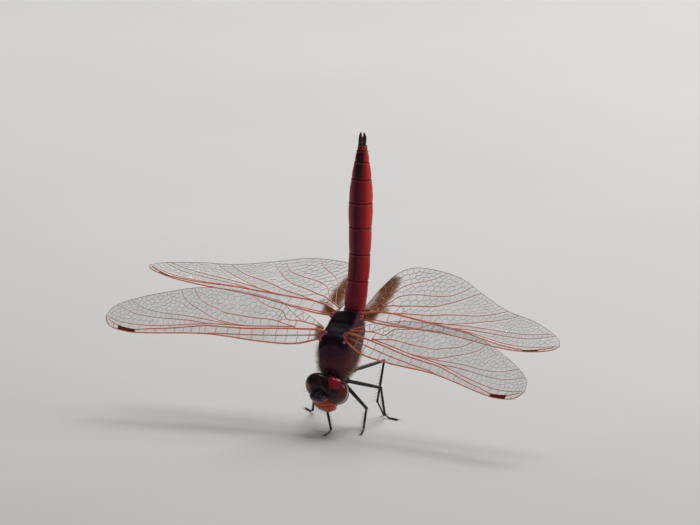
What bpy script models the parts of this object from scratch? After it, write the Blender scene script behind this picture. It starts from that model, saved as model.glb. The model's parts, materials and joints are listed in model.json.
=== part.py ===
"""A male violet dropwing dragonfly in the obelisk posture, life size.

Metres, +Z up, standing on z = 0. The viewer of a display case stands on the -Y side and sees the
animal's back. Directions named forward, left and up below are the animal's own.
"""

from math import cos, pi, radians, sin

import bmesh
import bpy
from mathutils import Matrix, Vector

MM = 0.001
CLEARANCE = 0.08 * MM

# Where the body stands and which way it faces. Yaw turns the animal to its own right.
BODY_CENTRE = Vector((1.63, -1.29, 0.0)) * MM
THORAX_AT = Vector((-1.44, 0.0, 11.23)) * MM
THORAX_YAW = radians(25)
THORAX_PITCH = radians(25.5)
HEAD_FROM_THORAX = Vector((4.38, 0.20, -4.46)) * MM
HEAD_YAW = radians(39.3)
HEAD_PITCH = radians(33)
HEAD_ROLL = radians(-7)

# Thorax: stations from front to back as (forward, top, bottom, half width), in millimetres, and
# how round the top is: 1 is egg-shaped, and less is squarer, as it is between the wings.
SYNTHORAX_STATIONS = [
    (2.38, -2.55, -4.30, 1.20, 1.0),
    (1.90, -1.65, -4.95, 1.80, 0.90),
    (1.25, -0.50, -5.40, 2.18, 0.75),
    (0.60, 0.25, -5.60, 2.32, 0.55),
    (-0.30, 0.55, -5.65, 2.36, 0.42),
    (-1.40, 0.55, -5.40, 2.40, 0.38),
    (-2.40, 0.50, -5.00, 2.38, 0.38),
    (-3.40, 0.65, -4.50, 2.30, 0.38),
    (-4.30, 0.80, -3.95, 2.20, 0.38),
    (-5.00, 0.70, -3.50, 2.00, 0.45),
    (-5.45, 0.05, -3.00, 1.45, 0.60),
]
PROTHORAX_STATIONS = [
    (2.80, -3.10, -4.40, 0.55, 1.0),
    (2.64, -2.80, -4.75, 0.92, 1.0),
    (2.48, -2.75, -4.70, 0.95, 1.0),
]
THORAX_SIDES = 24
THORAX_EGG = 0.22
THORAX_WIDEST = 1.03
NECK_FRONT = Vector((2.80, 0.0, -3.75)) * MM
NECK_BACK_OF_HEAD = Vector((-0.9, 0.0, 0.25)) * MM
NECK_RADIUS = 0.35 * MM
NECK_SIDES = 12

# Abdomen: the centre line of the first two segments bends from the thorax up to the vertical.
ABDOMEN_YAW = radians(24)
ABDOMEN_ROOT = Vector((-5.00, 0.0, -2.15)) * MM
ABDOMEN_ROOT_HANDLE = Vector((-0.95, 0.0, 0.10)) * MM
ABDOMEN_BEND = Vector((-6.75, 0.0, -0.29)) * MM
ABDOMEN_BEND_HANDLE = 0.95 * MM
ABDOMEN_LEAN_FORWARD = radians(2)
ABDOMEN_LEAN_LEFT = [(0.0, 0.0), (0.25, 0.55), (0.60, 0.75), (1.0, 1.05)]
SEGMENT_LENGTHS = [1.15, 1.50, 3.75, 3.43, 3.44, 3.17, 3.05, 2.21, 1.46, 0.72]
SEGMENT_END_WIDTHS = [2.45, 2.90, 2.82, 2.80, 2.82, 3.02, 3.14, 2.66, 1.98, 1.46, 1.12]
ABDOMEN_FLATNESS = 0.84
ABDOMEN_SIDES = 20
ABDOMEN_KEEL = 0.08
ABDOMEN_KEEL_SHARPNESS = 6
ABDOMEN_EGG = 0.06
SHORT_SEGMENT = 2.0
CERCUS_LENGTH = 1.60 * MM
# Each cercus as (part of its length, distance from the middle, radius), in millimetres.
CERCUS_STATIONS = [(0.0, 0.36, 0.25), (0.4, 0.38, 0.27), (0.8, 0.32, 0.26), (1.0, 0.27, 0.20)]
CERCUS_RISE = 0.12 * MM
EPIPROCT_LENGTH = 0.95 * MM
# The epiproct as (part of its length, distance below the middle, radius), in millimetres.
EPIPROCT_STATIONS = [(0.0, 0.30, 0.30), (0.5, 0.325, 0.30), (1.0, 0.35, 0.25)]

# Wings: outlines as (part of the length out from the root, part of the length back from the root).
WING_THICKNESS = 0.5 * MM
FOREWING_LENGTH = 28.6 * MM
HINDWING_LENGTH = 28.4 * MM
FOREWING_ROOT = Vector((0.0, 1.55, 0.0)) * MM
HINDWING_ROOT = Vector((-4.50, 1.82, 0.10)) * MM
FOREWING_FRONT = [
    (0.0, 0.0), (0.12, -0.030), (0.28, -0.023), (0.53, 0.008),
    (0.85, 0.006), (0.94, 0.028), (0.98, 0.058), (1.0, 0.090),
]
FOREWING_BACK = [
    (0.0, 0.055), (0.10, 0.125), (0.25, 0.190), (0.45, 0.235),
    (0.60, 0.245), (0.75, 0.220), (0.87, 0.190), (0.96, 0.150), (1.0, 0.090),
]
HINDWING_FRONT = [
    (0.0, 0.0), (0.12, -0.006), (0.40, 0.015), (0.53, 0.014),
    (0.72, 0.004), (0.85, 0.012), (0.94, 0.038), (0.98, 0.064), (1.0, 0.090),
]
HINDWING_BACK = [
    (-0.01, 0.067), (0.01, 0.194), (0.05, 0.294), (0.13, 0.340), (0.33, 0.338),
    (0.50, 0.274), (0.65, 0.220), (0.80, 0.196), (0.93, 0.152), (1.0, 0.090),
]
# Each wing's pose: sweep forward, raise, leading edge down at the root and at the tip, in degrees.
WING_POSES = {
    "forewing_left": (19.5, -0.6, 26.4, 18.7),
    "forewing_right": (9.7, 2.5, 26.4, 17.4),
    "hindwing_left": (9.6, 0.5, 12.9, 6.1),
    "hindwing_right": (-6.9, 2.7, 6.0, -16.4),
}

# Legs: hip in the thorax's frame, then knee, ankle and toe in the body's, in millimetres.
LEGS = {
    "fore_left": ((2.20, 1.20, -4.90), (2.69, 0.80, 2.20), (2.35, -2.30, 0.42), (2.00, -4.90)),
    "fore_right": ((1.98, -0.82, -5.12), (-2.45, 1.00, 2.95), (-1.75, -3.20, 0.42), (-2.50, -5.50)),
    "mid_left": ((0.95, 1.15, -5.70), (4.50, 3.00, 4.35), (5.00, 5.10, 0.42), (6.50, 3.60)),
    "mid_right": ((1.00, -1.10, -5.60), (-3.60, 6.30, 4.16), (-4.05, 8.00, 0.42), (-4.90, 10.20)),
    "hind_left": ((-1.10, 1.25, -5.50), (4.91, 6.50, 7.08), (4.06, 5.50, 2.03), (5.05, 6.60)),
    "hind_right": ((-1.10, -1.25, -5.50), (-2.05, 9.20, 6.40), (-2.60, 12.20, 0.90), (-3.00, 14.30)),
}
COXA_LENGTH = 1.1 * MM
COXA_RADII = (0.62 * MM, 0.42 * MM)
COXA_SIDES = 12
COXA_TILT = (0.25, 0.25)
FEMUR_RADIUS = 0.32 * MM
TIBIA_RADIUS = 0.26 * MM
TARSUS_RADIUS = 0.25 * MM
JOINT_GAP = TIBIA_RADIUS * 0.75 + CLEARANCE
# The foot comes down at this part of its length, and further out the higher the ankle is.
HEEL_AT = 0.35
LOW_ANKLE = 0.42 * MM
HEEL_SHIFT = 0.28 / MM
FURTHEST_HEEL = 0.8
SOLE_SINK = 0.06 * MM

# Head, in its own frame around the point between the eyes' centres.
EYE_CENTRE = Vector((0.15, 1.02, 0.10)) * MM
EYE_RADII = Vector((1.50, 2.05, 2.02)) * MM
EYE_COLUMNS = 26
EYE_ROWS = 16
CAPSULE_RADII = Vector((1.05, 2.20, 1.60)) * MM
CAPSULE_CENTRE = Vector((-0.05, 0.0, -0.25)) * MM
FRONS_CENTRE = Vector((1.98, 0.0, 0.40)) * MM
FRONS_RADII = Vector((0.80, 1.36, 0.66)) * MM
# The face from its top to the mouth as (up, front, half width), in millimetres.
FACE_STATIONS = [
    (-0.45, 2.20, 1.25),
    (-1.15, 2.25, 1.65),
    (-1.85, 2.15, 1.55),
    (-2.50, 1.75, 1.00),
]
FACE_DEPTH = 1.7 * MM
FACE_SIDES = 20
LABIUM_CENTRE = Vector((0.45, 0.0, -1.90)) * MM
LABIUM_RADII = Vector((1.05, 1.30, 0.60)) * MM
ANTENNA_BASE = Vector((1.72, 0.66, 1.00)) * MM
ANTENNA_TIP = Vector((3.05, 1.30, 1.85)) * MM
ANTENNA_RADIUS = 0.25 * MM

COLOURS = {
    "eye_red": ((0.20, 0.02, 0.03), 0.18),
    "head_violet": ((0.06, 0.02, 0.05), 0.30),
    "face_orange": ((0.55, 0.10, 0.06), 0.45),
    "thorax_violet": ((0.09, 0.02, 0.045), 0.45),
    "abdomen_crimson": ((0.36, 0.03, 0.06), 0.38),
    "leg_black": ((0.015, 0.013, 0.016), 0.35),
    "wing_membrane": ((0.62, 0.34, 0.26), 0.25),
}


def clear_scene():
    for thing in list(bpy.data.objects):
        bpy.data.objects.remove(thing, do_unlink=True)


def make_collection(name):
    collection = bpy.data.collections.new(name)
    bpy.context.scene.collection.children.link(collection)
    return collection


def make_materials():
    made = {}
    for name, (colour, roughness) in COLOURS.items():
        material = bpy.data.materials.new(name)
        material.use_nodes = True
        shader = material.node_tree.nodes["Principled BSDF"]
        shader.inputs["Base Color"].default_value = (*colour, 1.0)
        shader.inputs["Roughness"].default_value = roughness
        material.diffuse_color = (*colour, 1.0)
        made[name] = material
    return made


def facing(yaw, pitch, roll):
    """A rotation whose columns are forward, left and up for an animal that looks towards -Y."""
    forward = Vector((-sin(yaw) * cos(pitch), -cos(yaw) * cos(pitch), -sin(pitch)))
    left = Vector((cos(yaw), -sin(yaw), 0.0))
    up = forward.cross(left)
    left, up = left * cos(roll) + up * sin(roll), up * cos(roll) - left * sin(roll)
    return Matrix((forward, left, up)).transposed().to_4x4()


def smooth(knots, at):
    """The value at a place on a smooth curve through (place, value) knots in rising order."""
    places = [knot[0] for knot in knots]
    at = min(max(at, places[0]), places[-1])
    last = len(knots) - 1
    i = min(max(j for j, place in enumerate(places) if place <= at), last - 1)

    def slope(j):
        a, b = max(j - 1, 0), min(j + 1, last)
        return (knots[b][1] - knots[a][1]) / (knots[b][0] - knots[a][0])

    width = places[i + 1] - places[i]
    t = (at - places[i]) / width
    start, end = knots[i][1], knots[i + 1][1]
    rise = (2 * t**3 - 3 * t**2 + 1) * start + (3 * t**2 - 2 * t**3) * end
    return rise + width * ((t**3 - 2 * t**2 + t) * slope(i) + (t**3 - t**2) * slope(i + 1))


def resampled(knots, count):
    """Points along a smooth planar curve through the knots, closer together towards its end."""
    run = [0.0]
    for a, b in zip(knots, knots[1:]):
        run.append(run[-1] + (Vector(b) - Vector(a)).length)
    across = [(r / run[-1], knot[0]) for r, knot in zip(run, knots)]
    along = [(r / run[-1], knot[1]) for r, knot in zip(run, knots)]
    steps = [sin(pi / 2 * i / (count - 1)) for i in range(count)]
    return [(smooth(across, t), smooth(along, t)) for t in steps]


def add_object(name, mesh, material, parent, collection):
    thing = bpy.data.objects.new(name, mesh)
    mesh.materials.append(material)
    thing.parent = parent
    collection.objects.link(thing)
    return thing


def mesh_from(name, build, smooth_angle=radians(40)):
    """A mesh from a bmesh building function, smooth but for its sharp edges."""
    bm = bmesh.new()
    build(bm)
    bmesh.ops.recalc_face_normals(bm, faces=bm.faces)
    mesh = bpy.data.meshes.new(name)
    bm.to_mesh(mesh)
    bm.free()
    mesh.shade_smooth()
    mesh.set_sharp_from_angle(angle=smooth_angle)
    return mesh


def loft(rings):
    """A building function for a closed skin over rings of points, with both ends capped."""

    def build(bm):
        made = [[bm.verts.new(point) for point in ring] for ring in rings]
        for ring, following in zip(made, made[1:]):
            for i in range(len(ring)):
                j = (i + 1) % len(ring)
                bm.faces.new((ring[i], ring[j], following[j], following[i]))
        bm.faces.new(made[0])
        bm.faces.new(made[-1])

    return build


def ellipsoid(centre, radii, grow=0.0, columns=20, rows=12):
    def build(bm):
        grown = Vector(r + grow for r in radii)
        place = Matrix.Translation(centre) @ Matrix.Diagonal(grown).to_4x4()
        bmesh.ops.create_uvsphere(
            bm, u_segments=columns, v_segments=rows, radius=1.0, matrix=place
        )

    return build


def cut_flat(build, point, normal):
    """A building function whose shape is cut by a plane and closed, losing the side at the normal."""

    def cut(bm):
        build(bm)
        everything = bm.verts[:] + bm.edges[:] + bm.faces[:]
        found = bmesh.ops.bisect_plane(
            bm, geom=everything, plane_co=point, plane_no=normal, clear_outer=True
        )
        edges = [g for g in found["geom_cut"] if isinstance(g, bmesh.types.BMEdge)]
        bmesh.ops.contextual_create(bm, geom=edges)

    return cut


def tube(points, radii, sides=8):
    """Rings round a path, square to it, for a loft."""
    rings = []
    for i, point in enumerate(points):
        along = points[min(i + 1, len(points) - 1)] - points[max(i - 1, 0)]
        turn = along.to_track_quat("Z", "Y")
        ring = []
        for k in range(sides):
            angle = 2 * pi * (k + 0.5) / sides
            ring.append(point + turn @ Vector((cos(angle), sin(angle), 0.0)) * radii[i])
        rings.append(ring)
    return rings


def cut_with(target, cutters):
    for cutter in cutters:
        cut = target.modifiers.new("cut_" + cutter.name, "BOOLEAN")
        cut.operation = "DIFFERENCE"
        cut.solver = "EXACT"
        cut.object = cutter


def add_cutter(name, build, parent, collection):
    """A hidden copy of a shape, grown by the clearance, that its neighbours are cut with."""
    cutter = bpy.data.objects.new("cutter_" + name, mesh_from("cutter_" + name, build))
    cutter.parent = parent
    cutter.hide_render = True
    cutter.display_type = "WIRE"
    collection.objects.link(cutter)
    return cutter


def body_ring(forward, top, bottom, half_width, roundness):
    """A cross-section of the thorax: its upper half squarer than its egg-shaped lower half."""
    ring = []
    middle, half_height = (top + bottom) / 2, (top - bottom) / 2
    for k in range(THORAX_SIDES):
        angle = 2 * pi * k / THORAX_SIDES
        power = roundness if cos(angle) > 0 else 1.0
        aside = abs(sin(angle)) ** power * (1 if angle < pi else -1)
        height = abs(cos(angle)) ** power * (1 if cos(angle) > 0 else -1)
        squeeze = 1.0 - THORAX_EGG * cos(angle) * roundness
        across = half_width * aside * squeeze / THORAX_WIDEST
        ring.append(Vector((forward, across, middle + half_height * height)))
    return ring


def thorax_rings(stations, grow=0.0):
    """Rings through the stations, grown on every side."""
    rings = []
    last = len(stations) - 1
    for i, (forward, top, bottom, half, roundness) in enumerate(stations):
        push = grow if i == 0 else -grow if i == last else 0.0
        rings.append(
            body_ring(
                forward * MM + push,
                top * MM + grow,
                bottom * MM - grow,
                half * MM + grow,
                roundness,
            )
        )
    return rings


def abdomen_line(at):
    """The abdomen's centre line, as a point and a direction, at a length from its root."""
    thorax = thorax_frame()
    start = thorax @ ABDOMEN_ROOT
    bend = thorax @ ABDOMEN_BEND
    rise = abdomen_direction(0.0)
    handles = (
        start,
        start + thorax.to_3x3() @ ABDOMEN_ROOT_HANDLE,
        bend - rise * ABDOMEN_BEND_HANDLE,
        bend,
    )
    bent = sum(SEGMENT_LENGTHS[:2]) * MM
    if at < bent:
        t = at / bent
        weights = ((1 - t) ** 3, 3 * t * (1 - t) ** 2, 3 * t**2 * (1 - t), t**3)
        point = sum((h * w for h, w in zip(handles, weights)), Vector())
        slopes = (
            -3 * (1 - t) ** 2,
            3 * (1 - t) ** 2 - 6 * t * (1 - t),
            6 * t * (1 - t) - 3 * t**2,
            3 * t**2,
        )
        direction = sum((h * w for h, w in zip(handles, slopes)), Vector()).normalized()
        return point, direction
    beyond = at - bent
    total = sum(SEGMENT_LENGTHS[2:]) * MM + CERCUS_LENGTH
    direction = abdomen_direction(beyond / total)
    sideways = smooth(ABDOMEN_LEAN_LEFT, beyond / total) * MM
    ahead = -sin(ABDOMEN_LEAN_FORWARD) * beyond
    point = bend + Vector((sideways, ahead, cos(ABDOMEN_LEAN_FORWARD) * beyond))
    return point, direction


def abdomen_direction(part):
    """Which way the upright length of the abdomen runs, at a part of it from its lower end."""
    step = 0.02
    before, after = max(part - step, 0.0), min(part + step, 1.0)
    rise = smooth(ABDOMEN_LEAN_LEFT, after) - smooth(ABDOMEN_LEAN_LEFT, before)
    slope = rise / (after - before)
    total = sum(SEGMENT_LENGTHS[2:]) + CERCUS_LENGTH / MM
    return Vector(
        (slope / total, -sin(ABDOMEN_LEAN_FORWARD), cos(ABDOMEN_LEAN_FORWARD))
    ).normalized()


def abdomen_back():
    """Which way the back of the upright abdomen faces."""
    return Vector((-sin(ABDOMEN_YAW), -cos(ABDOMEN_YAW), 0.0))


def abdomen_ring(at, half_width):
    """A cross-section of the abdomen: a low dorsal keel over a flatter belly."""
    point, direction = abdomen_line(at)
    across = direction.cross(abdomen_back()).normalized()
    back = across.cross(direction)
    ring = []
    for k in range(ABDOMEN_SIDES):
        angle = 2 * pi * k / ABDOMEN_SIDES
        keel = 1.0 + ABDOMEN_KEEL * max(cos(angle), 0.0) ** ABDOMEN_KEEL_SHARPNESS
        side = half_width * sin(angle) * (1.0 - ABDOMEN_EGG * cos(angle))
        depth = half_width * ABDOMEN_FLATNESS * cos(angle) * keel
        ring.append(point + across * side + back * depth)
    return ring


def thorax_frame():
    return Matrix.Translation(THORAX_AT) @ facing(THORAX_YAW, THORAX_PITCH, 0.0)


def head_frame():
    at = thorax_frame() @ HEAD_FROM_THORAX
    return Matrix.Translation(at) @ facing(HEAD_YAW, HEAD_PITCH, HEAD_ROLL)


def add_frame(name, matrix, collection):
    empty = bpy.data.objects.new(name, None)
    empty.matrix_world = matrix
    collection.objects.link(empty)
    return empty


def wing_point(name, out, back):
    """A point of a wing's middle surface in the thorax's frame."""
    sweep, lift, pitch_root, pitch_tip = (radians(angle) for angle in WING_POSES[name])
    fore = name.startswith("fore")
    length = FOREWING_LENGTH if fore else HINDWING_LENGTH
    root = FOREWING_ROOT if fore else HINDWING_ROOT
    pitch = pitch_root + (pitch_tip - pitch_root) * out
    local = Vector((-back * cos(pitch), out, back * sin(pitch))) * length
    point = root + Matrix.Rotation(sweep, 3, "Z").inverted() @ (
        Matrix.Rotation(lift, 3, "X") @ local
    )
    return point if name.endswith("left") else Vector((point.x, -point.y, point.z))


def wing_mesh(name, along=17, across=5):
    fore = name.startswith("fore")
    front = resampled(FOREWING_FRONT if fore else HINDWING_FRONT, along)
    back = resampled(FOREWING_BACK if fore else HINDWING_BACK, along)

    def build(bm):
        rows = []
        for a, b in zip(front[:-1], back[:-1]):
            row = []
            for j in range(across):
                t = j / (across - 1)
                out, chord = (a[0] * (1 - t) + b[0] * t, a[1] * (1 - t) + b[1] * t)
                row.append(bm.verts.new(wing_point(name, out, chord)))
            rows.append(row)
        for row, following in zip(rows, rows[1:]):
            for j in range(across - 1):
                bm.faces.new((row[j], row[j + 1], following[j + 1], following[j]))
        tip = bm.verts.new(wing_point(name, *front[-1]))
        for j in range(across - 1):
            bm.faces.new((rows[-1][j], rows[-1][j + 1], tip))

    return mesh_from(name, build)


def add_wings(parent, body_cutters, materials, collection):
    for name in WING_POSES:
        wing = add_object(name, wing_mesh(name), materials["wing_membrane"], parent, collection)
        thicken = wing.modifiers.new("thickness", "SOLIDIFY")
        thicken.thickness = WING_THICKNESS
        thicken.offset = 0.0
        cut_with(wing, body_cutters[:1])


def add_thorax(parent, materials, collection, cutters):
    """The winged part of the thorax and the small first part in front of it, with their cutters."""
    made, grown = [], []
    for name, stations in (("synthorax", SYNTHORAX_STATIONS), ("prothorax", PROTHORAX_STATIONS)):
        mesh = mesh_from(name, loft(thorax_rings(stations)))
        made.append(add_object(name, mesh, materials["thorax_violet"], parent, collection))
        grown.append(add_cutter(name, loft(thorax_rings(stations, CLEARANCE)), parent, cutters))
    cut_with(made[1], grown[:1])
    return grown


def add_abdomen(parent, body_cutters, materials, collection):
    """The ten segments in a row. It returns the length at which the last one ends."""
    starts = [0.0]
    for length in SEGMENT_LENGTHS:
        starts.append(starts[-1] + length * MM)
    widths = [(s, w * MM / 2) for s, w in zip(starts, SEGMENT_END_WIDTHS)]
    for i, length in enumerate(SEGMENT_LENGTHS):
        begin, end = starts[i] + CLEARANCE / 2, starts[i + 1] - CLEARANCE / 2
        steps = 3 if length < SHORT_SEGMENT else 4
        rings = []
        for k in range(steps + 1):
            at = begin + (end - begin) * k / steps
            rings.append(abdomen_ring(at, smooth(widths, at)))
        name = f"abdomen_segment_{i + 1:02d}"
        segment = add_object(
            name, mesh_from(name, loft(rings)), materials["abdomen_crimson"], parent, collection
        )
        if i < 3:
            cut_with(segment, body_cutters[:1])
    return starts[-1]


def add_appendages(parent, root, materials, collection):
    """The two cerci and the shorter epiproct between and behind them."""
    back = abdomen_back()
    base, direction = abdomen_line(root + CLEARANCE)
    right = direction.cross(back)
    for side, sign in (("left", -1), ("right", 1)):
        path, radii = [], []
        for part, spread, radius in CERCUS_STATIONS:
            offset = right * (sign * spread * MM) + back * CERCUS_RISE
            path.append(base + direction * CERCUS_LENGTH * part + offset)
            radii.append(radius * MM)
        mesh = mesh_from("cercus", loft(tube(path, radii)))
        add_object("cercus_" + side, mesh, materials["leg_black"], parent, collection)
    path, radii = [], []
    for part, depth, radius in EPIPROCT_STATIONS:
        path.append(base - back * depth * MM + direction * EPIPROCT_LENGTH * part)
        radii.append(radius * MM)
    mesh = mesh_from("epiproct", loft(tube(path, radii)))
    add_object("epiproct", mesh, materials["abdomen_crimson"], parent, collection)


def add_legs(parent, body_cutters, materials, collection):
    """Six legs, each of a coxa, a femur, a tibia and a foot."""
    thorax = thorax_frame()
    for name, (hip, knee, ankle, toe) in LEGS.items():
        hip = thorax @ (Vector(hip) * MM)
        knee, ankle = Vector(knee) * MM, Vector(ankle) * MM
        toe = Vector((toe[0] * MM, toe[1] * MM, TARSUS_RADIUS - SOLE_SINK))
        inwards = -1 if name.endswith("left") else 1
        above = thorax.to_3x3() @ Vector((COXA_TILT[0], COXA_TILT[1] * inwards, 1.0))
        parts = {
            "coxa": tube([hip + above.normalized() * COXA_LENGTH, hip], COXA_RADII, COXA_SIDES),
            "femur": leg_part(hip, knee, FEMUR_RADIUS, TIBIA_RADIUS),
            "tibia": leg_part(knee, ankle, TIBIA_RADIUS, TIBIA_RADIUS * 0.97),
            "tarsus": tarsus_rings(ankle, toe),
        }
        for part, rings in parts.items():
            node = f"leg_{name}_{part}"
            leg = add_object(
                node, mesh_from(node, loft(rings)), materials["leg_black"], parent, collection
            )
            if part in ("coxa", "femur"):
                cut_with(leg, body_cutters)


def leg_part(start, end, start_radius, end_radius):
    """A slim tapered length that stops short of the joints at its two ends."""
    axis = (end - start).normalized()
    points = [start + axis * JOINT_GAP, (start + end) / 2, end - axis * JOINT_GAP]
    return tube(points, [start_radius, (start_radius + end_radius) / 2, end_radius])


def tarsus_rings(ankle, toe):
    """The foot: it comes down from the ankle and lies along the floor on a flat sole."""
    axis = (toe - ankle).normalized()
    heel_at = min(HEEL_AT + (ankle.z - LOW_ANKLE) * HEEL_SHIFT, FURTHEST_HEEL)
    down = ankle.lerp(toe, heel_at)
    down.z = toe.z
    points = [ankle + axis * CLEARANCE, down, down.lerp(toe, 0.5), toe]
    rings = tube(points, [TARSUS_RADIUS] * len(points))
    for ring in rings:
        for point in ring:
            point.z = max(point.z, 0.0)
    return rings


def eye_build(sign, grow=0.0):
    """A building function for one compound eye, before it is cut to fit its neighbours."""
    centre = Vector((EYE_CENTRE.x, EYE_CENTRE.y * sign, EYE_CENTRE.z))
    return ellipsoid(centre, EYE_RADII, grow, EYE_COLUMNS, EYE_ROWS)


def add_head(parent, body_cutters, materials, collection, cutters):
    """The head's pieces, each cut to fit the ones before it. It returns the back's cutters."""
    violet, orange = materials["head_violet"], materials["face_orange"]

    def add(name, build, material, cut_by):
        made = add_object(name, mesh_from(name, build), material, parent, collection)
        cut_with(made, cut_by)

    add("head_capsule", ellipsoid(CAPSULE_CENTRE, CAPSULE_RADII), violet, [])
    grown = ellipsoid(CAPSULE_CENTRE, CAPSULE_RADII, CLEARANCE)
    capsule_cutter = add_cutter("capsule", grown, parent, cutters)
    eye_cutters = []
    for side, sign in (("left", 1), ("right", -1)):
        seam = Vector((0.0, sign * CLEARANCE / 2, 0.0))
        eye = cut_flat(eye_build(sign), seam, Vector((0, -sign, 0)))
        add("eye_" + side, eye, materials["eye_red"], [capsule_cutter, *body_cutters])
        eye_cutters.append(add_cutter("eye_" + side, eye_build(sign, CLEARANCE), parent, cutters))
    add("frons", ellipsoid(FRONS_CENTRE, FRONS_RADII), violet, [capsule_cutter, *eye_cutters])
    grown = ellipsoid(FRONS_CENTRE, FRONS_RADII, CLEARANCE)
    frons_cutter = add_cutter("frons", grown, parent, cutters)
    add("face", loft(face_rings(0.0)), orange, [capsule_cutter, *eye_cutters, frons_cutter])
    face_cutter = add_cutter("face", loft(face_rings(CLEARANCE)), parent, cutters)
    labium = ellipsoid(LABIUM_CENTRE, LABIUM_RADII)
    add("labium", labium, orange, [capsule_cutter, *eye_cutters, face_cutter])
    for side, sign in (("left", 1), ("right", -1)):
        base = Vector((ANTENNA_BASE.x, ANTENNA_BASE.y * sign, ANTENNA_BASE.z))
        tip = Vector((ANTENNA_TIP.x, ANTENNA_TIP.y * sign, ANTENNA_TIP.z))
        antenna = loft(tube([base, tip], [ANTENNA_RADIUS] * 2))
        add("antenna_" + side, antenna, materials["leg_black"], [*eye_cutters, frons_cutter])
    return [capsule_cutter, *eye_cutters]


def face_rings(grow):
    """The clypeus and upper lip, from under the frons down to the mouth."""
    rings = []
    for up, front, half in FACE_STATIONS:
        ring = []
        for k in range(FACE_SIDES):
            angle = 2 * pi * k / FACE_SIDES
            forward = front * MM - FACE_DEPTH / 2 + (FACE_DEPTH / 2 + grow) * cos(angle)
            ring.append(Vector((forward, (half * MM + grow) * sin(angle), up * MM)))
        rings.append(ring)
    return rings


def add_neck(parent, cutters, materials, collection):
    """The slim neck between the back of the head and the prothorax."""
    head_end = HEAD_FROM_THORAX + NECK_BACK_OF_HEAD
    mesh = mesh_from("neck", loft(tube([NECK_FRONT, head_end], [NECK_RADIUS] * 2, NECK_SIDES)))
    neck = add_object("neck", mesh, materials["thorax_violet"], parent, collection)
    cut_with(neck, cutters)


def main():
    clear_scene()
    collection = make_collection("dragonfly")
    cutters = make_collection("cutters")
    materials = make_materials()
    root = add_frame("body_frame", Matrix.Translation(BODY_CENTRE), collection)
    thorax = add_frame("thorax_frame", thorax_frame(), collection)
    thorax.parent = root
    head = add_frame("head_frame", head_frame(), collection)
    head.parent = root
    body_cutters = add_thorax(thorax, materials, collection, cutters)
    add_wings(thorax, body_cutters, materials, collection)
    abdomen_end = add_abdomen(root, body_cutters, materials, collection)
    add_appendages(root, abdomen_end, materials, collection)
    add_legs(root, body_cutters, materials, collection)
    head_cutters = add_head(head, body_cutters, materials, collection, cutters)
    add_neck(thorax, [*body_cutters, *head_cutters], materials, collection)


main()
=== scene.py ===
"""A male violet dropwing dragonfly in the obelisk posture, life size.

Every piece is built in millimetres in the animal's own frames and stored in metres, +Z up, with
the floor at z = 0. Forward, left and up in the names are the animal's own directions.
"""

import json
from math import cos, pi, radians, sin

import bpy
import numpy as np
from bpy.props import FloatProperty, FloatVectorProperty, IntProperty, PointerProperty
from bpy.types import Operator, Panel, PropertyGroup
from mathutils import Matrix, Vector
from mathutils.geometry import delaunay_2d_cdt

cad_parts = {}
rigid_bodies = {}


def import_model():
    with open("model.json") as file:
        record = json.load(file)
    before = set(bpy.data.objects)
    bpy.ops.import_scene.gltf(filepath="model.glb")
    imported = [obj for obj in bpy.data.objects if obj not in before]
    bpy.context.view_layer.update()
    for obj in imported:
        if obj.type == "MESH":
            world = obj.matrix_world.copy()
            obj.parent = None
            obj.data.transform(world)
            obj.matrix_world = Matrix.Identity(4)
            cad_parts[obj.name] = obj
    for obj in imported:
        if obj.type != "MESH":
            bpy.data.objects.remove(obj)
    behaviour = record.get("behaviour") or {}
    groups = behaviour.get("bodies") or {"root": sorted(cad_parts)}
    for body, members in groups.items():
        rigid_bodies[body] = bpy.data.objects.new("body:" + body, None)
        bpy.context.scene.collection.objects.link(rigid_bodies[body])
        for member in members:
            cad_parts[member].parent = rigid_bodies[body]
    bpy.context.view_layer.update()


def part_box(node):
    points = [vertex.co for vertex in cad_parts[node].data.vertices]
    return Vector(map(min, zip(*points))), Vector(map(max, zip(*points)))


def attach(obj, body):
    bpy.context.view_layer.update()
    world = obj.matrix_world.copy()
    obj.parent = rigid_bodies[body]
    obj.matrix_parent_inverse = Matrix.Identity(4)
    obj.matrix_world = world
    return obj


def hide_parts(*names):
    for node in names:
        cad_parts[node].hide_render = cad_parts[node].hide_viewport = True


# The scene starts empty.
for thing in list(bpy.data.objects):
    bpy.data.objects.remove(thing, do_unlink=True)

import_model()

bl_info = {
    "name": "Violet Dropwing",
    "version": (1, 0, 0),
    "blender": (4, 5, 0),
    "location": "3D View > Sidebar > Dropwing",
    "description": "Builds a dragonfly with veined wings, hair and spines over its packed solids",
    "category": "Add Mesh",
}

MM = 0.001
BODY = "root"
# The unwrap's name, how wide a patch of it each hair and tube takes, and the room that it
# leaves for the faces that cross a skin's seam.
UNWRAP = "OFBake"
UNWRAP_PATCH = 0.003
SEAM_ROOM = 1.02
# How far a skin is drawn in from its solid, in millimetres, to leave room for its relief.
SKIN_INSET = 0.03
THORAX_INSET = 0.05

# How the body stands: the same numbers as the solids, in millimetres and radians.
THORAX_AT = np.array((-1.44, 0.0, 11.23))
THORAX_YAW, THORAX_PITCH = radians(25), radians(25.5)
HEAD_FROM_THORAX = np.array((4.38, 0.20, -4.46))
HEAD_YAW, HEAD_PITCH, HEAD_ROLL = radians(39.3), radians(33), radians(-7)

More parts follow.
